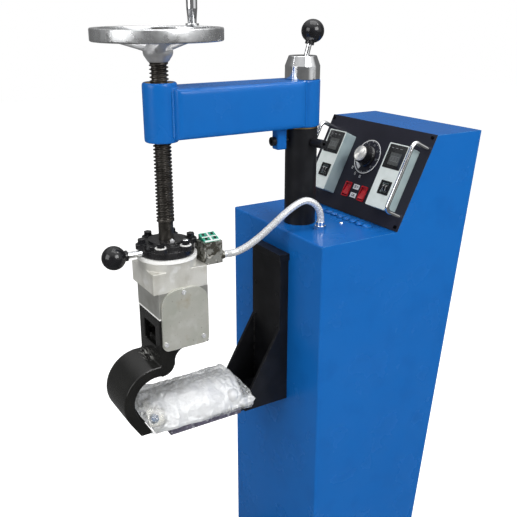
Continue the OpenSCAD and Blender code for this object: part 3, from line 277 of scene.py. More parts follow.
# Paints
blue = Finish("blue_paint", (0.0045, 0.112, 0.405), roughness=0.24, Specular_IOR_Level=0.22)
blue.cloudy((0.0055, 0.122, 0.43), 4, 0.3, 0.75).cloudy((0.004, 0.102, 0.375), 22, 0.52, 0.85)
blue.uneven(14, 0.2, 0.3).soft_edges(0.0018).bump(blue.noise(520, 2), 0.00004)
# Lighter blue along the corners, in broken patches: a painted highlight along the edges
blue.worn((0.06, 0.26, 0.58), 0.0016, 0.62, 60)

black = Finish("black_paint", (0.0085, 0.0088, 0.0105), roughness=0.34, Specular_IOR_Level=0.2)
black.cloudy((0.014, 0.0145, 0.017), 30, 0.4, 0.7).uneven(45, 0.28, 0.44)
black.soft_edges(0.0009).bump(black.noise(600, 3), 0.00012)
# Grey along the corners: partly worn paint, partly a painted highlight along the edges
black.worn((0.07, 0.07, 0.072), 0.001, 0.5, 80)

gloss = Finish("black_gloss", (0.0075, 0.0075, 0.007), roughness=0.16, Coat_Weight=0.4, Coat_Roughness=0.05,
               Specular_IOR_Level=0.3)
gloss.cloudy((0.012, 0.012, 0.011), 22, 0.4, 0.7).uneven(26, 0.12, 0.24)
gloss.soft_edges(0.0016).bump(gloss.noise(160, 3), 0.00035)
# Light grey along the hook's corners: partly chipped paint, partly painted highlights along its edges
gloss.worn((0.5, 0.5, 0.48), 0.0014, 0.32, 120)
gloss.scuffed((0.42, 0.42, 0.40), head(-14, -44, -200), 0.003, 0.012, 260, 0.5, (0.36, 1, 1))

satin = Finish("black_satin", (0.010, 0.010, 0.0115), roughness=0.24, Specular_IOR_Level=0.5)
satin.cloudy((0.022, 0.0215, 0.023), 60, 0.42, 0.7, 5).uneven(70, 0.18, 0.36)
satin.soft_edges(0.0008).bump(satin.noise(420, 4), 0.0002).worn((0.22, 0.22, 0.22), 0.001, 0.5, 110)

panel_black = Finish("panel_black", (0.015, 0.0155, 0.024), roughness=0.42, Specular_IOR_Level=0.2)
panel_black.cloudy((0.020, 0.020, 0.031), 14).uneven(60, 0.36, 0.5).soft_edges()
panel_black.bump(panel_black.noise(2200, 2), 0.00004)

# Metals
chrome = Finish("chrome", (0.86, 0.87, 0.88), 1.0, 0.08)
chrome.cloudy((0.70, 0.71, 0.73), 60, 0.45, 0.75).uneven(70, 0.05, 0.14).soft_edges(0.0006)
chrome.bump(chrome.noise(240, 3), 0.00003)

zinc = Finish("zinc_steel", (0.82, 0.83, 0.84), 0.45, 0.24)
zinc.cloudy((0.64, 0.65, 0.67), 160).uneven(220, 0.18, 0.34).soft_edges()

plated = Finish("plated_screws", (0.66, 0.67, 0.69), 1.0, 0.26)
plated.cloudy((0.45, 0.46, 0.5), 160).soft_edges()
plated.over((0.012, 0.012, 0.014), plated.near(panel(0, 92, 0), 0.2, 0.201))

blued = Finish("blued_steel", (0.018, 0.045, 0.095), 0.6, 0.28)
blued.cloudy((0.006, 0.014, 0.03), 170).uneven(180, 0.2, 0.4).soft_edges()

screw_finish = Finish("screw_steel", (0.085, 0.078, 0.070), 0.8, 0.36)
screw_finish.cloudy((0.035, 0.031, 0.027), 70, 0.4, 0.65).uneven(120, 0.26, 0.46)
screw_finish.soft_edges().bump(screw_finish.noise(900, 3), 0.00006)

ground = Finish("ground_steel", (0.45, 0.46, 0.48), 1.0, 0.25)
ground.cloudy((0.34, 0.34, 0.35), 90).uneven(300, 0.18, 0.32, stretch=(1, 1, 8)).soft_edges()

wheel_finish = Finish("wheel_metal", (0.66, 0.67, 0.68), 0.9, 0.3)
wheel_finish.cloudy((0.46, 0.465, 0.47), 40, 0.38, 0.66, 6, (1, 1, 0.4))
wheel_finish.cloudy((0.8, 0.8, 0.8), 90, 0.62, 0.72, 5).uneven(60, 0.2, 0.38).soft_edges(0.0007)
wheel_finish.bump(wheel_finish.noise(420, 5), 0.00016)

spider = Finish("wheel_casting", (0.46, 0.465, 0.47), 0.55, 0.42)
spider.cloudy((0.33, 0.33, 0.34), 50, 0.4, 0.68, 5).uneven(60, 0.34, 0.5)
spider.bump(spider.noise(520, 5), 0.0004)

cast_finish = Finish("cast_aluminium", (0.66, 0.655, 0.615), 0.35, 0.4)
cast_finish.cloudy((0.52, 0.51, 0.46), 30, 0.46, 0.72, 6).cloudy((0.76, 0.76, 0.74), 44, 0.58, 0.72, 5)
cast_finish.cloudy((0.36, 0.32, 0.25), 70, 0.68, 0.78, 6)
cast_finish.uneven(50, 0.3, 0.5).soft_edges(0.0009).bump(cast_finish.noise(380, 5), 0.0002)
cast_finish.worn((0.86, 0.86, 0.84), 0.0012, 0.6, 60)

box_finish = Finish("heater_aluminium", (0.36, 0.362, 0.345), 0.45, 0.38)
box_finish.cloudy((0.27, 0.27, 0.25), 40, 0.42, 0.7, 5).uneven(60, 0.3, 0.46).soft_edges(0.0007)
box_finish.bump(box_finish.noise(110, 3, (1, 1, 12)), 0.00008)

cover_finish = Finish("cover_aluminium", (0.475, 0.475, 0.43), 0.35, 0.4)
cover_finish.cloudy((0.41, 0.42, 0.37), 26, 0.42, 0.7, 5).cloudy((0.56, 0.565, 0.53), 34, 0.55, 0.75, 6)
cover_finish.cloudy((0.36, 0.30, 0.20), 30, 0.58, 0.82, 6).cloudy((0.25, 0.24, 0.21), 240, 0.66, 0.72, 3)
cover_finish.uneven(60, 0.32, 0.48).soft_edges(0.0008)
cover_finish.bump(cover_finish.noise(90, 3, (1, 1, 14)), 0.00006).worn((0.78, 0.78, 0.76), 0.0012, 0.6, 60)

milled = Finish("milled_aluminium", (0.62, 0.61, 0.57), 0.6, 0.38)
milled.cloudy((0.46, 0.45, 0.41), 34, 0.42, 0.72, 5).cloudy((0.44, 0.37, 0.27), 20, 0.62, 0.8, 5)
milled.uneven(60, 0.3, 0.46).soft_edges(0.0007).bump(milled.noise(90, 3, (1, 1, 14)), 0.00008)

# Lower platen: a dark purple-grey that paints the shade on its film-wrapped side, with light flecks painted
# as glints off the film's crinkles
platen_shade_and_glints = Finish("platen_shade_and_glints_finish", (0.19, 0.175, 0.235), 0.4, 0.42)
platen_shade_and_glints.cloudy((0.10, 0.095, 0.135), 120, 0.4, 0.6, 5).cloudy((0.42, 0.42, 0.46), 130, 0.6, 0.68, 5)
platen_shade_and_glints.soft_edges(0.0006).bump(platen_shade_and_glints.noise(500, 5), 0.0004)

bronze = Finish("bronze", (0.46, 0.32, 0.14), 1.0, 0.35)
bronze.cloudy((0.30, 0.20, 0.08), 80).uneven(90, 0.28, 0.45)

hose_metal = Finish("hose_metal", (0.78, 0.79, 0.79), 0.5, 0.26)
hose_metal.cloudy((0.62, 0.63, 0.64), 50, 0.5, 0.75).uneven(300, 0.2, 0.32)

# Plastics and insulation
insulator = Finish("insulator", (0.86, 0.86, 0.84), roughness=0.6)
insulator.cloudy((0.74, 0.73, 0.69), 60, 0.56, 0.82, 5).soft_edges(0.0006)
insulator.bump(insulator.noise(1300, 3), 0.00012)

bakelite = Finish("bakelite", (0.008, 0.008, 0.009), roughness=0.12, Specular_IOR_Level=0.42)
bakelite.cloudy((0.014, 0.014, 0.016), 120).uneven(80, 0.08, 0.16).soft_edges()

grey_plastic = Finish("grey_plastic", (0.33, 0.41, 0.42), roughness=0.42)
grey_plastic.cloudy((0.27, 0.35, 0.37), 40).soft_edges(0.0005).bump(grey_plastic.noise(1600, 2), 0.00006)

white_plastic = Finish("white_plastic", (0.74, 0.79, 0.77), roughness=0.36)
white_plastic.cloudy((0.66, 0.72, 0.69), 50).soft_edges(0.0005)
white_plastic.bump(white_plastic.noise(1600, 2), 0.00006)

dark_plastic = Finish("dark_plastic", (0.012, 0.013, 0.014), roughness=0.2, Specular_IOR_Level=0.3)
dark_plastic.cloudy((0.02, 0.021, 0.023), 200).uneven(120, 0.16, 0.3).soft_edges(0.0003)

screen_grey = Finish("screen_grey", (0.085, 0.09, 0.088), roughness=0.3)
screen_grey.cloudy((0.055, 0.06, 0.058), 300, 0.4, 0.6)

marking = Finish("marking_white", (0.86, 0.87, 0.87), roughness=0.5)
marking.cloudy((0.7, 0.71, 0.72), 400, 0.5, 0.8)

faint = Finish("marking_grey", (0.22, 0.23, 0.24), roughness=0.5)
faint.cloudy((0.14, 0.15, 0.16), 400, 0.5, 0.8)

red_plastic = Finish("red_plastic", (0.52, 0.010, 0.022), roughness=0.2)
red_plastic.cloudy((0.34, 0.005, 0.012), 160).cloudy((0.75, 0.04, 0.06), 260, 0.6, 0.75).soft_edges(0.0005)

green_plastic = Finish("green_plastic", (0.012, 0.30, 0.17), roughness=0.4)
green_plastic.cloudy((0.06, 0.46, 0.32), 140, 0.45, 0.6, 4).cloudy((0.005, 0.14, 0.08), 170, 0.55, 0.66)
green_plastic.soft_edges(0.0005)

# Junction box: dark stains, and light flecks that are painted highlights
box_stains_and_glints = Finish("aluminium_stains_and_glints", (0.30, 0.30, 0.27), 0.5, 0.38)
box_stains_and_glints.cloudy((0.07, 0.065, 0.05), 110, 0.46, 0.56, 5).cloudy((0.7, 0.68, 0.62), 130, 0.58, 0.66, 5)
box_stains_and_glints.uneven(90, 0.28, 0.5).soft_edges(0.0008).bump(box_stains_and_glints.noise(420, 5), 0.0004)

OWN_FINISH = {
    "side_covers": cover_finish, "platen_cover": milled, "upper_platen": milled, "heater_box": box_finish,
    "lower_platen": platen_shade_and_glints, "junction_box": box_stains_and_glints, "cabinet_screws": plated,
    "retaining_plate": satin, "swivel_flange": satin,
}

# Each CAD node takes its own finish, or the one that its material slot names
for node in nodes.values():
    for n, held in enumerate(node.data.materials):
        finish = OWN_FINISH.get(node.name) or Finish.made.get(held.name.split(".")[0])
        if finish:
            node.data.materials[n] = finish.material


# Mesh helpers: each maker returns points and faces, and piece() turns them into an object
def piece(name, parts, finish, body=None, crease=35, replaces=()):
    """One object from a list of (points, faces), smooth except at corners sharper than crease degrees."""
    points, faces = [], []
    for more_points, more_faces in parts:
        faces += [tuple(i + len(points) for i in face) for face in more_faces]
        points += more_points
    mesh = bpy.data.meshes.new(name)
    mesh.from_pydata([tuple(p) for p in points], [], faces)
    mesh.validate()
    work = bmesh.new()
    work.from_mesh(mesh)
    bmesh.ops.recalc_face_normals(work, faces=work.faces)
    work.to_mesh(mesh)
    work.free()
    mesh.materials.append(finish.material)
    mesh.polygons.foreach_set("use_smooth", [True] * len(mesh.polygons))
    mesh.set_sharp_from_angle(angle=math.radians(crease))
    obj = bpy.data.objects.new(name, mesh)
    scene.collection.objects.link(obj)
    if body:
        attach(obj, body)
    if replaces:
        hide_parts(*replaces)
    return obj


def strip(rows, closed=True, loop=False):
    """Rows of points joined each to the next: round a ring if closed, and last to first if loop."""
    count = len(rows[0])
    faces = []
    for r in range(len(rows) if loop else len(rows) - 1):
        s = (r + 1) % len(rows)
        for c in range(count if closed else count - 1):
            d = (c + 1) % count
            faces.append((r * count + c, r * count + d, s * count + d, s * count + c))
    if closed and not loop:
        faces.append(tuple(range(count - 1, -1, -1)))
        faces.append(tuple(range((len(rows) - 1) * count, len(rows) * count)))
    return [p for row in rows for p in row], faces


def polar(radius, angle, centre=(0, 0)):
    return centre[0] + radius * math.cos(angle), centre[1] + radius * math.sin(angle)


def circle(radius, count, centre=(0, 0), turn=0.0):
    return [polar(radius, turn + math.tau * k / count, centre) for k in range(count)]


def round_rect(width, height, radius, steps=4, centre=(0, 0)):
    points = []
    for n, (sx, sy) in enumerate(((1, 1), (-1, 1), (-1, -1), (1, -1))):
        corner = (centre[0] + sx * (width / 2 - radius), centre[1] + sy * (height / 2 - radius))
        points += [polar(radius, (n + k / steps) * math.pi / 2, corner) for k in range(steps + 1)]
    return points


def prism(place, outlines, low, high):
    """A flat plate with an outer outline and any holes, between two heights of a place."""
    flat = [p for outline in outlines for p in outline]
    caps = tessellate_polygon([[Vector((*p, 0)) for p in outline] for outline in outlines])
    count = len(flat)
    points = [place(*p, low) for p in flat] + [place(*p, high) for p in flat]
    faces = [tuple(t) for t in caps] + [tuple(i + count for i in t) for t in caps]
    start = 0
    for outline in outlines:
        size = len(outline)
        for k in range(size):
            a, b = start + k, start + (k + 1) % size
            faces.append((a, b, b + count, a + count))
        start += size
    return points, faces


def bar(place, start, end, width, low, high):
    """A straight bar with square ends between two points of a place."""
    run = Vector(end) - Vector(start)
    side = Vector((-run.y, run.x)).normalized() * width / 2
    run = run.normalized() * width / 2
    a, b = Vector(start) - run, Vector(end) + run
    return prism(place, [[a - side, b - side, b + side, a + side]], low, high)


def stacked(place, rows, loop=False):
    """A form lofted through (outline, height) rows of a place."""
    return strip([[place(*p, z) for p in outline] for outline, z in rows], loop=loop)


def turned(place, profile, sides=48, loop=False):
    """A turned form: profile is (radius, height) pairs, and with loop it closes as a ring."""
    return stacked(place, [(circle(r, sides), z) for r, z in profile], loop)


def bolt(place, across_flats, height, chamfer=0.8):
    """A hexagon head or nut with a chamfered top."""
    wide = circle(across_flats / math.sqrt(3), 6)
    inward = 1 - 2 * chamfer / across_flats
    small = [(x * inward, y * inward) for x, y in wide]
    return stacked(place, [(wide, 0), (wide, height - chamfer * 0.6), (small, height)])


def washer(place, outer, inner, thick):
    edge = thick * 0.2
    profile = [(inner, 0), (outer, 0), (outer, thick - edge), (outer - edge, thick), (inner, thick)]
    return turned(place, profile, 40, loop=True)


def frames(path):
    """Two directions across the path at each of its points, carried along without twist."""
    ahead = [(path[min(i + 1, len(path) - 1)] - path[max(i - 1, 0)]).normalized() for i in range(len(path))]
    side = ahead[0].orthogonal().normalized()
    found = []
    for direction in ahead:
        side = (side - direction * side.dot(direction)).normalized()
        found.append((side, direction.cross(side)))
    return found


def tube(path, radius, sides):
    """Rings of points round a path. The radius is a function of the distance along it."""
    rows, along = [], 0.0
    for i, (point, (a, b)) in enumerate(zip(path, frames(path))):
        along += (point - path[i - 1]).length if i else 0
        rows.append([point + a * x + b * y for x, y in circle(radius(along), sides)])
    return rows


def smooth(points, per_span):
    """A smooth curve through the points, each span cut into per_span steps."""
    ends = [points[0] * 2 - points[1], *points, points[-1] * 2 - points[-2]]
    curve = []
    for i in range(1, len(ends) - 2):
        a, b, c, d = ends[i - 1 : i + 3]
        bend, twist = a * 2 - b * 5 + c * 4 - d, b * 3 - a - c * 3 + d
        for k in range(per_span):
            t = k / per_span
            curve.append((b * 2 + (c - a) * t + bend * t**2 + twist * t**3) / 2)
    return [*curve, points[-1]]


# Strokes of plain digits and letters in a box one high and one wide
STROKES = {
    "a": ((0, 1), (1, 1)), "b": ((1, 1), (1, 0.5)), "c": ((1, 0.5), (1, 0)), "d": ((0, 0), (1, 0)),
    "e": ((0, 0), (0, 0.5)), "f": ((0, 0.5), (0, 1)), "g": ((0, 0.5), (1, 0.5)), "n": ((0, 1), (1, 0)),
}
SIGNS = {
    "0": "abcdef", "1": "bc", "2": "abged", "3": "abgcd", "4": "fgbc", "5": "afgcd", "6": "afgedc",
    "7": "abc", "8": "abcdefg", "9": "abfgcd", "O": "abcdef", "N": "efnbc", "F": "afge",
}


def lettering(place, text, height, stroke, thick):
    """Plain strokes for a short text, centred on a place."""
    width, step = height * 0.55, height * 0.85
    left = -(step * (len(text) - 1) + width) / 2
    made = []
    for n, sign in enumerate(text):
        for key in SIGNS[sign]:
            ends = [(left + n * step + x * width, (y - 0.5) * height) for x, y in STROKES[key]]
            made.append(bar(place, *ends, stroke, 0, thick))
    return made


# Conduit in three lengths, each blended over one joint: its diameter and ribs are in metres
HOSE_D = 0.0126
HOSE_RIB = 0.0016
HOSE_RELIEF = 0.00009
HOSE_ROUTE = [
    (62, 3, 14), (62, 3, 24), (61, -1, 38), (59, -11, 50), (56, -27, 56), (53, -45, 50), (49, -66, 36),
    (45, -88, 18), (40, -110, 0), (35, -132, -15), (30, -150, -24), (26, -162, -27), (22, -169, -28),
    (22, -176, -28),
]
HOSE_CUTS = [0, 5, 8, 13]
HOSE_STEPS = 56
HOSE_NODES = ["conduit_lower", "conduit_middle", "conduit_upper"]


def rib(along):
    return HOSE_D / 2 - HOSE_RELIEF * (1 - abs(math.sin(math.pi * along / HOSE_RIB)))


route = smooth([deck(*p) for p in HOSE_ROUTE], HOSE_STEPS)
for n, hose_node in enumerate(HOSE_NODES):
    part = route[HOSE_CUTS[n] * HOSE_STEPS : HOSE_CUTS[n + 1] * HOSE_STEPS + 1]
    hose = piece("hose_" + hose_node.split("_")[1], [strip(tube(part, rib, 24))], hose_metal)
    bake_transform(hose)
    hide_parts(hose_node)


# Press screw with a real thread form
PITCH = 6
THREAD_DEPTH = 3
THREAD_SIDES = 72
ROWS_A_TURN = 12
CREST_SHARE, FLANK_SHARE = 0.22, 0.4
SCREW_LENGTHS = [
    (-17.5, 12, 10.5, False), (12.1, 43, 12.5, False), (43.1, 300, 15, True), (300.1, 336, 11, False),
    (336.1, 350, 8, False),
]


def threaded():
    """The screw as one skin, through lengths of (from, to, radius, threaded)."""
    rows = []
    for low, high, radius, cut in SCREW_LENGTHS:
        count = max(2, round((high - low) * ROWS_A_TURN / PITCH)) if cut else 2
        for i in range(count + 1):
            z = low + (high - low) * i / count
            fade = max(0, min(1, (z - low) / PITCH, (high - z) / PITCH)) if cut else 0
            row = []
            for k in range(THREAD_SIDES):
                turn = k / THREAD_SIDES
                wave = abs(((z / PITCH - turn) % 1) * 2 - 1)
                groove = min(1, max(0, (wave - CREST_SHARE) / FLANK_SHARE))
                row.append(head(*polar(radius - THREAD_DEPTH * fade * groove, math.tau * turn), z))
            rows.append(row)
    return strip(rows)


piece("screw_thread", [threaded()], screw_finish, "screw", 50, ["press_screw"])


# Castings and weldments
def skinned(obj, voxel, rounds, keep):
    """One skin over the object's solids, with soft corners and fillets, as a casting or a weldment has."""
    weld = obj.modifiers.new("weld", "WELD")
    weld.merge_threshold = 0.00001
    skin = obj.modifiers.new("skin", "REMESH")
    skin.mode = "VOXEL"
    skin.voxel_size = voxel
    soften = obj.modifiers.new("soften", "SMOOTH")
    soften.factor = 0.5
    soften.iterations = rounds
    thin = obj.modifiers.new("thin", "DECIMATE")
    thin.ratio = keep
    done = bpy.data.meshes.new_from_object(obj.evaluated_get(bpy.context.evaluated_depsgraph_get()))
    obj.modifiers.clear()
    obj.data = done
    done.name = obj.name
    done.polygons.foreach_set("use_smooth", [True] * len(done.polygons))


def cast(name, node, voxel, rounds, keep, finish, body):
    """The CAD node's own form with soft corners and fillets."""
    obj = bpy.data.objects.new(name, nodes[node].data.copy())
    scene.collection.objects.link(obj)
    obj.data.materials.clear()
    obj.data.materials.append(finish.material)
    skinned(obj, voxel, rounds, keep)
    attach(obj, body)
    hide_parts(node)


cast("boom_weldment", "swing_boom", 0.0013, 20, 0.35, blue, "boom")
cast("hook_casting", "hook_arm", 0.0011, 9, 0.3, gloss, "head")
cast("block_casting", "head_block", 0.0009, 3, 0.35, cast_finish, "head")


# Handwheel: a crisp turned rim, and a casting of hub and spokes
HUB_LOW = 300
RIM_R, RIM_W, RIM_H, RIM_RISE = 103, 15, 20, 31.5
SPOKES = [math.radians(a) for a in (-15, 105, 225)]
SPOKE_FROM, SPOKE_LOW = 13, 17.5
HUB_PROFILE = [
    (11.1, 0), (15.5, 0), (17, 1.5), (22.5, 10), (23.5, 13), (23.5, 18), (20, 22.5), (17.5, 26), (16.5, 36),
    (11.1, 36),
]
hub_spot = spot(head(0, 0, HUB_LOW), UP, RIGHT)


def rounded(value):
    """Squares up a sine or cosine, so that a round section gets flatter sides."""
    return math.copysign(abs(value) ** 0.6, value)


def spoke(angle):
    """A spoke that rises from the hub and widens into the rim."""
    rows, steps, sides = [], 12, 16
    for i in range(steps + 1):
        s = i / steps
        reach = SPOKE_FROM + (RIM_R - RIM_W / 2 - SPOKE_FROM) * s
        rise = SPOKE_LOW + (RIM_RISE + RIM_H * 0.3 - SPOKE_LOW) * s
        half_w = 9 - 3 * math.sin(math.pi * min(1, s * 1.1)) + 5 * s**2
        half_t = 4 - 1.4 * s
        row = []
        for k in range(sides):
            across = half_w * rounded(math.cos(math.tau * k / sides))
            up = half_t * rounded(math.sin(math.tau * k / sides))
            row.append(hub_spot(reach * math.cos(angle) - across * math.sin(angle),
                                reach * math.sin(angle) + across * math.cos(angle), rise + up))
        rows.append(row)
    return strip(rows)


rim_profile = round_rect(RIM_W, RIM_H, 2.6, 5, (RIM_R - RIM_W / 2, RIM_RISE + RIM_H / 2))
rim = turned(hub_spot, rim_profile, 160, loop=True)
piece("wheel_rim", [rim], wheel_finish, "screw", 40, ["handwheel"])
hub = turned(hub_spot, HUB_PROFILE, 72, loop=True)
wheel_hub = piece("wheel_hub", [hub, *(spoke(a) for a in SPOKES)], spider, "screw")
skinned(wheel_hub, 0.0009, 5, 0.4)

# Swivel flange: bolts, washers and the small nut by the screw
LOBE_R, LOBE_TURN = 43, -37
PLATE_TOP, HUB_RING_TOP = 8, 12
WASHER_T, WASHER_HOLE_R = 1.5, 4.2
BRIGHT_CAP = [(5.4, -0.4), (5.4, 0.9), (4.6, 1.7), (1.5, 2.1)]
RING_NUT_R, RING_NUT_H = 23, 3.4
bolt_spots = [spot(head(*p, PLATE_TOP), UP) for p in circle(LOBE_R, 6, turn=math.radians(LOBE_TURN))]
piece("flange_bolts_black", [bolt(above(place, WASHER_T), 12, 7.5, 1.1) for place in bolt_spots],
      bakelite, "head", replaces=["flange_bolts"])
piece("flange_bolt_cap", [turned(above(bolt_spots[1], 8.6), BRIGHT_CAP, 32)], chrome, "head")
piece("flange_washers", [washer(place, 9.4, WASHER_HOLE_R, WASHER_T) for place in bolt_spots[:2]],
      insulator, "head")
piece("flange_washers_black", [washer(place, 8.5, WASHER_HOLE_R, WASHER_T) for place in bolt_spots[2:]],
      black, "head")
ring_nut = spot(head(RING_NUT_R, 0, HUB_RING_TOP), UP)
stud = turned(above(ring_nut, RING_NUT_H), [(1.9, -0.3), (1.9, 1.4), (1.4, 1.8)], 20)
piece("ring_nut", [bolt(ring_nut, 7, RING_NUT_H, 0.6), stud], zinc, "head")

# Terminal block: a sloped green body with light strips and screws
TERMINAL_X, TERMINAL_Y, TERMINAL_RISE = (4.2, 29.8), (58.2, 87.8), (11.6, 2.6)
TERMINAL_LEAN = (TERMINAL_RISE[0] - TERMINAL_RISE[1]) / (TERMINAL_X[1] - TERMINAL_X[0])


def sloped(x, y, z):
    """A point off the terminal block's sloping top."""
    return head(x, y, TERMINAL_RISE[1] + (TERMINAL_X[1] - x) * TERMINAL_LEAN + z)


def sloped_box(x, y, low, high, inset=0.0):
    """A box between two heights off the sloping top, drawn in at its upper edge."""
    rows = []
    for z, d in ((low, 0), (high - inset, 0), (high, inset)):
        corners = ((x[0] + d, y[0] + d), (x[1] - d, y[0] + d), (x[1] - d, y[1] - d), (x[0] + d, y[1] - d))
        rows.append([sloped(*corner, z) for corner in corners])
    return strip(rows)


def sloped_screw(x, y):
    return turned(lambda dx, dy, z: sloped(x + dx, y + dy, z), TERMINAL_SCREW, 20)


TERMINAL_SCREW = ((2.6, -0.3), (2.6, 0.8), (1.6, 1.0), (1.4, 0.3))
STRIP_ENDS, STRIP_SINK = (58.6, 87.4), -0.4
piece("terminal_body", [sloped_box(TERMINAL_X, TERMINAL_Y, -12, 0, 0.5)],
      green_plastic, "head", 20, ["terminal_block"])
piece("terminal_strips", [
    sloped_box((4.6, 29.4), (71.6, 74.6), STRIP_SINK, 0.7, 0.2),
    sloped_box((26.4, 29.4), STRIP_ENDS, STRIP_SINK, 0.6, 0.2),
    sloped_box((15.4, 17.4), STRIP_ENDS, STRIP_SINK, 0.5, 0.2)], marking, "head", 20)
piece("terminal_screws", [sloped_screw(x, y) for x in (9.6, 21.6) for y in (64.6, 81.2)],
      dark_plastic, "head")

# Bracket: nuts on studs on the shelf, black button heads on the column, weld beads along the gussets
SHELF_TOP, COLUMN_FACE = -330, -74
NUT_X, NUT_Y = (-24, 24), -134
BUTTON_X, BUTTON_Z = (-37.5, 37.5), (-120, -186)
BUTTON_HEAD = [(3.5, 0), (3.5, 0.8), (2.6, 1.7), (1.2, 2)]
GUSSET_X, GUSSET_Z = 42.5, (-326, -190)
BOSS_X, BOSS_Y, BOSS_Z = 27.2, -263.5, (184, 258)
RIPPLE = 2.6
shelf_parts = []
for x in NUT_X:
    place = spot(deck(x, NUT_Y, SHELF_TOP), UP)
    shelf_parts += [bolt(place, 10, 5), turned(place, [(2.9, 1), (2.9, 8), (2.3, 8.8)], 20)]
piece("shelf_nuts", shelf_parts, zinc, "cabinet", replaces=["bracket_nuts"])
piece("column_bolts", [
    turned(spot(deck(x, COLUMN_FACE, z), FORWARD), BUTTON_HEAD, 28) for x in BUTTON_X for z in BUTTON_Z],
    black, "cabinet")


def bead(x, y, ends, radius):
    """A weld bead: an upright run with ripples, between two heights off the deck."""
    start, end = (deck(x, y, z) for z in ends)
    last = (end - start).length
    count = max(6, round(last / MM / RIPPLE * 6))
    path = [start.lerp(end, i / count) for i in range(count + 1)]

    def swell(along):
        end_share = min(1, 0.35 + min(along, last - along) / (radius * MM))
        return radius * MM * end_share * (0.84 + 0.16 * abs(math.cos(math.pi * along / MM / RIPPLE)))

    return strip(tube(path, swell, 14))


piece("bracket_welds", [bead(s * GUSSET_X, COLUMN_FACE, GUSSET_Z, 2.1) for s in (-1, 1)],
      satin, "cabinet")
piece("boom_welds", [bead(s * BOSS_X, BOSS_Y, BOSS_Z, 2.6) for s in (-1, 1)], blue, "boom")

# Louvres over the deck's vents
VENT_Y, VENT_PITCH, VENT_COUNT, VENT_W = 83, 19, 11, 3.5
HOOD_LEN, HOOD_W, HOOD_H, HOOD_T = 20, 11, 5.6, 0.8
HOOD_STEPS, HOOD_COLUMNS = 8, 14
DECK_SCREW = [(4, 0), (4, 0.8), (3, 2), (1.2, 2.6)]


def louvre(x):
    """A pressed hood: closed at its back and sides, and open over the vent's slot."""
    rows = []
    for side, lift in ((1, 0.0), (-1, -HOOD_T)):
        block = []
        for i in range(HOOD_STEPS + 1):
            s = i / HOOD_STEPS
            row = []
            for k in range(HOOD_COLUMNS + 1):
                c = -1 + 2 * k / HOOD_COLUMNS
                edge = max(0, 1 - abs(c) ** 2.6) ** 0.5
                h = HOOD_H * edge * max(0, 1 - s**2.2) ** 0.5
                row.append(deck(x - VENT_W / 2 + HOOD_W * s * (0.35 + 0.65 * edge), VENT_Y + c * HOOD_LEN / 2,
                                max(-0.3, h + lift)))
            block.append(row)
        rows += block if side > 0 else block[::-1]
    return strip(rows, closed=False, loop=True)


piece("deck_louvres", [louvre((n - (VENT_COUNT - 1) / 2) * VENT_PITCH) for n in range(VENT_COUNT)],
      blue, "cabinet", 50)
piece("deck_screw", [turned(spot(deck(53, 58, 0), UP), DECK_SCREW, 28)], chrome, "cabinet")

# Timer: printed ring, knob with a ribbed skirt and a bright spun cap
TIMER = (1, 116)
DIAL_T, INK_T = 1.2, 0.2
RING_R, TICK_R = (32.7, 34.1), 32
WEDGE_R, WEDGE_FROM, WEDGE_TURN, WEDGE_STEPS = (22.5, 29), 203, 45, 8
NUMERAL_R, NUMERAL_STEP, SCALE_R = 25.6, 38, 40.5
SKIRT = (
    (21, 0, 0), (21, 1.6, 0), (19.2, 3, 0), (18.4, 5, 0.5), (17.2, 16, 0.5), (16.6, 18.4, 0), (15.6, 19, 0),
)
SKIRT_SIDES, RIB_SIDES = 144, 4
CAP = [(15, 18.6), (15, 21.2), (14.2, 22), (11, 22.2), (0.3, 22.4)]
timer_face = on_panel(*TIMER, DIAL_T)
ring_low, ring_high = RING_R
ring = [(ring_low, 0), (ring_high, 0), (ring_high, 0.25), (ring_low, 0.25)]
dial_marks = [turned(timer_face, ring, 96, loop=True)]
for n in range(60):
    a = math.tau * n / 60
    tick_low, width = (30.8, 0.3) if n % 5 else (29.6, 0.55)
    dial_marks.append(bar(timer_face, polar(tick_low, a), polar(TICK_R, a), width, 0, INK_T))
turns = [math.radians(WEDGE_FROM + WEDGE_TURN * k / WEDGE_STEPS) for k in range(WEDGE_STEPS + 1)]
wedge = [polar(WEDGE_R[0], a) for a in turns] + [polar(WEDGE_R[1], a) for a in turns[::-1]]
dial_marks.append(prism(timer_face, [wedge], 0, 0.22))
piece("timer_marks", dial_marks, marking, "cabinet")
numerals = []
for n in range(1, 8):
    at = on_panel(*polar(NUMERAL_R, math.radians(225 - n * NUMERAL_STEP), TIMER), DIAL_T)
    numerals += lettering(at, str(n * 5), 3.2, 0.5, INK_T)
piece("timer_numerals", numerals, faint, "cabinet")
scale_marks = []
for sign, a in (("0", 222), ("5", 246), ("10", 268)):
    at = on_panel(*polar(SCALE_R, math.radians(a), TIMER), 0)
    scale_marks += lettering(at, sign, 4.6, 0.8, INK_T)
piece("panel_numerals", scale_marks, marking, "cabinet")

knob_spot = on_panel(*TIMER, DIAL_T + 0.3)
skirt_rows = []
for r, z, rib_depth in SKIRT:
    skirt_rows.append([
        knob_spot(*polar(r - rib_depth * (k % RIB_SIDES < RIB_SIDES / 2), math.tau * k / SKIRT_SIDES), z)
        for k in range(SKIRT_SIDES)
    ])
piece("timer_skirt", [strip(skirt_rows)], bakelite, "timer", 40, ["timer_knob"])
spun = Finish("spun_aluminium", (0.93, 0.92, 0.88), 0.45, 0.2)
spun.turned(panel(*TIMER, 0), PANEL_UP, 0.0011, 0.00022)
piece("timer_cap", [turned(knob_spot, CAP, 72)], spun, "timer")

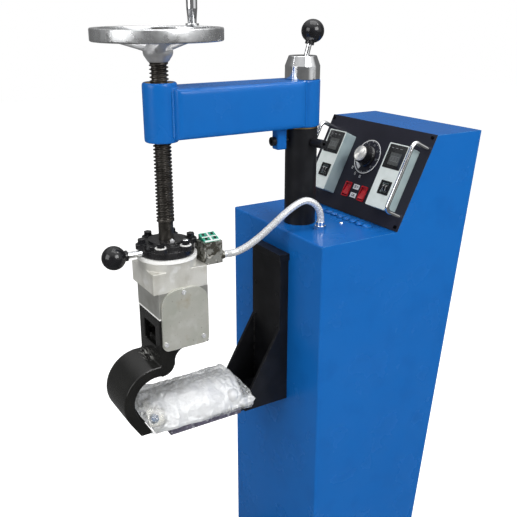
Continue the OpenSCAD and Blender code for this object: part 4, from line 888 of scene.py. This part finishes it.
# Controllers: light fronts, dark windows with grey screens, and the digit switches
CONTROLLER_X, CONTROLLER_U, CONTROLLER_D = (-80, 101), 88, 27
CONTROLLER_W, CONTROLLER_H = 52, 121
SLOT_W, SLOT_H, SLOT_GAP = 16, 17, 0.6
WHEEL_SINK, WHEEL_D, WHEEL_W, WHEEL_GAP = 4, 14, 7, 0.5
WHEEL_MIDDLE = (6, -22)
WINDOW_W, WINDOW_H, WINDOW_MIDDLE, WINDOW_BEVEL = 46, 45, (0.6, 36), 1.4
SCREEN_MIDDLE = (2, 32)
DASH_X, DASH_STEP, DASH_LEN, DASH_U = -15, 11, 4.5, 52
front_spots = [on_panel(x, CONTROLLER_U, CONTROLLER_D) for x in CONTROLLER_X]
slot_outline = round_rect(SLOT_W + SLOT_GAP, SLOT_H + SLOT_GAP, 0.4, 2, WHEEL_MIDDLE)[::-1]
window = round_rect(WINDOW_W, WINDOW_H, 2, centre=WINDOW_MIDDLE)
window_top = round_rect(WINDOW_W - WINDOW_BEVEL, WINDOW_H - WINDOW_BEVEL, 1.6, centre=WINDOW_MIDDLE)
screen = round_rect(27, 23, 1, centre=SCREEN_MIDDLE)
surround = round_rect(28, 26, 1.6, centre=WHEEL_MIDDLE)
piece("controller_plates", [
    prism(place, [round_rect(CONTROLLER_W, CONTROLLER_H, 2.4), slot_outline], -0.05, 0.7)
    for place in front_spots], white_plastic, "cabinet", replaces=["controller_fronts"])
piece("controller_windows", [
    stacked(place, [(window, 0.6), (window, 1.1), (window_top, 1.5)]) for place in front_spots],
    dark_plastic, "cabinet")
piece("controller_screens", [prism(place, [screen], 1.3, 1.7) for place in front_spots],
      screen_grey, "cabinet")
screen_signs = []
for place in front_spots:
    screen_signs += lettering(
        lambda x, y, z: place(x + SCREEN_MIDDLE[0], y + SCREEN_MIDDLE[1], z + 1.65), "000", 9, 0.9, 0.12)
    for n in range(3):
        start = DASH_X + DASH_STEP * n
        screen_signs.append(bar(place, (start, DASH_U), (start + DASH_LEN, DASH_U), 1.1, 1.45, 1.62))
piece("screen_signs", screen_signs, faint, "cabinet")
piece("digit_surrounds", [prism(place, [surround, slot_outline], 0.5, 1.5) for place in front_spots],
      dark_plastic, "cabinet")


def digit_signs(place, side):
    """The ten digits round one digit wheel."""
    made = []
    for digit in range(10):
        a = math.tau * (digit - 1) / 10
        x = WHEEL_MIDDLE[0] + side * (WHEEL_W + WHEEL_GAP) / 2

        def rim(across, up, out):
            turn = a + up / (WHEEL_D / 2)
            r = WHEEL_D / 2 + out
            return place(x + across, WHEEL_MIDDLE[1] + r * math.sin(turn), r * math.cos(turn) - WHEEL_SINK)

        made += lettering(rim, str(digit), 2.9, 0.5, 0.06)
    return made


for n in range(4):
    side = -1 if n % 2 == 0 else 1
    piece("digit_signs_" + str(n + 1), digit_signs(front_spots[n // 2], side),
          marking, "digits_" + str(n + 1))

# Rockers: red bezels with plain ON and OFF plates between them
ROCKER_X, ROCKER_U = (-20, 28), 45
LABELS = (("OFF", 4, 54), ("ON", 4, 37))
LABEL_T = 0.5
panel_spot = on_panel(0, 0, 0)
bezels = []
for x in ROCKER_X:
    outside = round_rect(19.5, 30, 2, centre=(x, ROCKER_U))
    opening = round_rect(14.8, 24.8, 0.6, 2, (x, ROCKER_U))
    bezels.append(prism(panel_spot, [outside, opening[::-1]], 0, 1.6))
piece("rocker_bezels", bezels, red_plastic, "cabinet")
plates, signs = [], []
for sign, x, u in LABELS:
    plates.append(prism(panel_spot, [round_rect(17, 9.5, 1, centre=(x, u))], 0, LABEL_T))
    signs += lettering(on_panel(x, u, LABEL_T - 0.05), sign, 5, 0.8, 0.15)
piece("rocker_labels", plates, marking, "cabinet")
piece("rocker_signs", signs, dark_plastic, "cabinet")


# Wrapping film, in millimetres off the screw's axis and the deck: it bends round an axis under the platen
FILM_R, FILM_AXIS_Z = 56.8, -327
FILM_STEPS = 180
FILM_EDGE_FRONT, FILM_EDGE_REAR = -319, -325.5
EDGE_WAVE, EDGE_WAVES = 0.7, 23
HOOK_Y, HOOK_Z, HOOK_INNER = -47, -263, 44
TAIL_Y, TAIL_Z, TAIL_RUN = -84.3, -286.3, 0.6249
HOOK_HALF = 46.5
FILM_GAP = 1.6
FILM_FRONT = -70
REAR_TOP = 108
REAR_DEGREES = (0, 12, 17, 23, 32, 45, 65, 90, 112, 180)
REAR_REACH = (131, 135, 139, 134, 132.5, 126, 118, 109, 108, 114)
BOLT_ANGLES = (math.radians(34), math.pi - math.radians(34))
BOLT_FRONT, BOLT_REAR = -59, 98
BOLT_HEIGHT, BOLT_R, BOLT_CLEAR_R = 8.2, 12, 21
CREST_ANGLE, CREST_HEIGHT = math.radians(108), 5.5
END_STEPS, END_GAP, END_Z, END_SHRINK = 30, 2.5, -318, 0.8
PLEAT_W, PLEAT_H = 7.5, 1.7


def ramp(value, start, run):
    """Climbs from 0 at the start to 1 over the run, which is negative where it climbs backward."""
    return np.clip((value - start) / run, 0, 1)


def crumple(along, across, rng, cell, slope):
    """Flat facets that meet in sharp folds: each point climbs from its nearest seed, faster one way."""
    reach = [(float(v.min()) - cell, float(v.max()) + cell) for v in (along, across)]
    count = int((reach[0][1] - reach[0][0]) * (reach[1][1] - reach[1][0]) / cell**2)
    height = np.full(along.shape, 9.0 * cell)
    for _ in range(count):
        p, q = rng.uniform(*reach[0]), rng.uniform(*reach[1])
        angle, squeeze = rng.uniform(0, math.pi), rng.uniform(1.2, 3.2)
        u = (along - p) * math.cos(angle) + (across - q) * math.sin(angle)
        v = (across - q) * math.cos(angle) - (along - p) * math.sin(angle)
        height = np.minimum(height, np.abs(u) + np.abs(v) / squeeze)
    return slope * height


def hook_front(z):
    """How far forward the film reaches behind the hook's inner face at a height."""
    round_part = HOOK_Y - np.sqrt(np.maximum(0, HOOK_INNER**2 - (z - HOOK_Z) ** 2))
    tail_part = TAIL_Y + TAIL_RUN * (TAIL_Z - z)
    return np.where(z > TAIL_Z, round_part, tail_part) + FILM_GAP


def from_bolts(y, angle, bolt_y):
    """Distances over the film to the two bolts at one end of the platen."""
    return [np.hypot(y - bolt_y, (angle - bolt_angle) * FILM_R) for bolt_angle in BOLT_ANGLES]


def film_relief(y, angle, low):
    """How far the film stands out: folds, slack where it lies flat in front, bolts under it and a crest."""
    rng = np.random.default_rng(7)
    degrees = np.degrees(angle)
    across = angle * FILM_R
    flat = ramp(y, -60, 50) * ramp(y, 100, -40)
    flat = flat * ramp(degrees, 6, 14) * ramp(degrees, 82, -26)
    folds = crumple(y, across, rng, 46, 0.11)
    small = crumple(y, across, rng, 19, 0.24) + crumple(y + 400, across, rng, 8, 0.26)
    folds = folds + (1 - 0.72 * flat) * small
    for away in from_bolts(y, angle, BOLT_FRONT) + from_bolts(y, angle, BOLT_REAR):
        folds = np.maximum(folds, BOLT_HEIGHT * np.exp(-((away / BOLT_R) ** 4)))
    crest = ramp(y, 70, 40) ** 2 * np.exp(-(((angle - CREST_ANGLE) / 0.35) ** 2))
    folds = folds + CREST_HEIGHT * crest
    return folds * (1 - 0.7 * np.clip(1 - (angle - low) / 0.1, 0, 1)) + 0.4


def film_clearness(y, angle, share):
    """How clear the film is: most at its ends and front bolts, and less on its far side."""
    degrees = np.degrees(angle)
    clear = 0.42 * ramp(degrees, 58, 22) * np.ones_like(y)
    for away in from_bolts(y, angle, BOLT_FRONT):
        clear = np.maximum(clear, np.exp(-((away / BOLT_CLEAR_R) ** 3)))
    clear = np.maximum(clear, 0.6 * ramp(y, -48, -14))
    clear = np.maximum(clear, 0.85 * ramp(y, 110, 6) * ramp(degrees, 21, 8))
    return np.maximum(clear, 0.8 * ramp(share, 0.45, 0.25) * ramp(degrees, 14, -7))


def film_grid():
    """The film's points and its clearness at each, drawn in at its rear and open round the hook."""
    share = np.linspace(0, 1, FILM_STEPS + 1)[:, None]
    turn = np.linspace(0, 1, FILM_STEPS + 1)[None, :]
    edge_z = FILM_EDGE_FRONT + (FILM_EDGE_REAR - FILM_EDGE_FRONT) * share
    low = np.arcsin((edge_z - FILM_AXIS_Z + EDGE_WAVE * np.sin(share * EDGE_WAVES)) / FILM_R)
    angle = low + (math.pi - 2 * low) * turn
    x0, z0 = np.cos(angle), np.sin(angle)
    inside = ramp(np.abs(FILM_R * x0[0]), HOOK_HALF + 2, -2)
    front = np.minimum(hook_front(FILM_AXIS_Z + FILM_R * z0[0]), FILM_FRONT * (1 - inside))
    rear = np.interp(np.degrees(angle)[-1], REAR_DEGREES, REAR_REACH)
    y = front + share * (rear - front)
    r = FILM_R + film_relief(y, angle, low)
    grid = [np.stack([r * x0, y, FILM_AXIS_Z + r * z0], -1)]
    clear = [film_clearness(y, angle, share)]
    across = angle[-1] * FILM_R
    pleat_at = across / PLEAT_W + 0.5 * np.sin(across / 11)
    end_top = REAR_TOP + END_GAP
    for k in range(1, END_STEPS + 1):
        s = k / END_STEPS
        pleat = PLEAT_H * np.abs((pleat_at % 1) * 2 - 1) * math.sin(math.pi * s)
        end_y = end_top + (rear - end_top) * (1 - s) ** 4 + pleat
        edge_r = r[-1] * (1 - END_SHRINK * s)
        z_mid = END_Z * s + FILM_AXIS_Z * (1 - s)
        grid.append(np.stack([edge_r * x0[-1], end_y, z_mid + edge_r * z0[-1]], -1)[None])
        clear.append(np.full((1, FILM_STEPS + 1), 0.8))
    return np.concatenate(grid), np.concatenate(clear)


def film():
    """A crinkled clear sheet over the domed platen, with its clearness kept on its points."""
    grid, clear = film_grid()
    sheet = strip([[head(*p) for p in row] for row in grid], closed=False)
    clear_film = Finish("clear_film", (0.66, 0.67, 0.68), roughness=0.12, IOR=1.7, Specular_IOR_Level=0.7)
    held = clear_film.add("Attribute", attribute_name="clear").outputs["Fac"]
    streaks = clear_film.span(clear_film.noise(120, 5, (1, 0.45, 1), 1.2), 0.46, 0.56)
    clear_film.over((0.40, 0.42, 0.40), clear_film.maths("MULTIPLY", streaks, held))
    clear_film.bump(clear_film.noise(330, 4, distortion=1.4), 0.0008)
    cloud = clear_film.span(clear_film.noise(80, 4, distortion=1.0), 0.4, 0.6, 0.6, 1.2)
    solid = clear_film.span(clear_film.maths("MULTIPLY", held, cloud), 0.0, 1.0, 0.96, 0.16)
    clear_film.link(solid, clear_film.shader.inputs["Alpha"])
    made = piece("wrapping_film", [sheet], clear_film, "head", 14, ["protective_film"])
    mark = made.data.attributes.new("clear", "FLOAT", "POINT")
    mark.data.foreach_set("value", clear.ravel().astype(np.float32))


film()


# Floor, background and light, in metres
FLOOR_HALF, FLOOR_Z = 9, -0.0006
FLOOR_GLOW, FLOOR_MIRRORED = 0.72, 0.13
SKY_LIT, SKY_WHITE, STUDIO_WALLS = 0.36, 1.0, 0.16


def floor():
    """A pale floor that the camera sees near white, and that reflections see dim."""
    corners = [(-FLOOR_HALF, -FLOOR_HALF), (FLOOR_HALF, -FLOOR_HALF), (FLOOR_HALF, FLOOR_HALF),
               (-FLOOR_HALF, FLOOR_HALF)]
    mesh = bpy.data.meshes.new("floor")
    mesh.from_pydata([(*corner, FLOOR_Z) for corner in corners], [], [(0, 1, 2, 3)])
    obj = bpy.data.objects.new("floor", mesh)
    scene.collection.objects.link(obj)
    pale = Finish("floor_pale", (0.8, 0.8, 0.79), roughness=0.7)
    pale.cloudy((0.76, 0.76, 0.75), 1.5)
    glow = pale.add("Emission", {"Strength": FLOOR_GLOW})
    mirrored = pale.add("Emission", {"Color": (FLOOR_MIRRORED, FLOOR_MIRRORED, FLOOR_MIRRORED, 1)})
    plain = pale.shader.outputs[0]
    both = pale.feed(pale.add("AddShader"), plain, glow.outputs[0])[0]
    rays = pale.add("LightPath").outputs
    lit = pale.mixed(pale.seen(rays), plain, both)
    surface = pale.mixed(rays["Is Glossy Ray"], lit, mirrored.outputs[0])
    pale.link(surface, pale.tree.nodes["Material Output"].inputs["Surface"])
    mesh.materials.append(pale.material)


def world():
    """White behind the object, and for reflections a studio with a soft box overhead and one to the right."""
    made = bpy.data.worlds.new("studio")
    made.use_nodes = True
    made.node_tree.nodes.clear()
    sky = Nodes(made.node_tree)
    facing = sky.add("TexCoord").outputs["Generated"]

    def background(strength):
        return sky.add("Background", {"Color": (1, 1, 1, 1), "Strength": strength})

    def soft_box(direction, low, high, strength):
        toward = sky.vector("DOT_PRODUCT", facing, Vector(direction).normalized())["Value"]
        return sky.span(toward, low, high, 0, strength, "SMOOTHSTEP")

    lit, mirrored, white = background(SKY_LIT), background(1.0), background(SKY_WHITE)
    overhead = soft_box(UP, 0.35, 0.85, 0.95)
    beside = soft_box((0.78, 0.55, 0.2), 0.8, 0.97, 0.6)
    level = sky.maths("ADD", sky.maths("ADD", overhead, beside), STUDIO_WALLS)
    sky.link(level, mirrored.inputs["Color"])
    rays = sky.add("LightPath").outputs
    first = sky.mixed(rays["Is Glossy Ray"], lit.outputs[0], mirrored.outputs[0])
    second = sky.mixed(sky.seen(rays), first, white.outputs[0])
    sky.link(second, sky.add("OutputWorld").inputs["Surface"])
    scene.world = made


def lamp(name, place, target, size, power):
    light = bpy.data.lights.new(name, "AREA")
    light.shape = "RECTANGLE"
    light.size, light.size_y = size
    light.energy = power
    obj = bpy.data.objects.new(name, light)
    obj.location = place
    obj.rotation_euler = (Vector(target) - Vector(place)).to_track_quat("-Z", "Y").to_euler()
    scene.collection.objects.link(obj)


floor()
world()
lamp("key", (2.4, 0.3, 2.2), (0, -0.1, 0.95), (1.5, 1.3), 51)
lamp("top", (0.1, 0.1, 3.2), (0, 0, 0.9), (1.8, 1.8), 30)
lamp("fill", (0.2, -2.6, 1.7), (0, -0.1, 0.9), (1.6, 1.6), 30)
lamp("edge", (0.95, 1.25, 3.3), (0, -0.1, 1.1), (0.6, 0.3), 9)
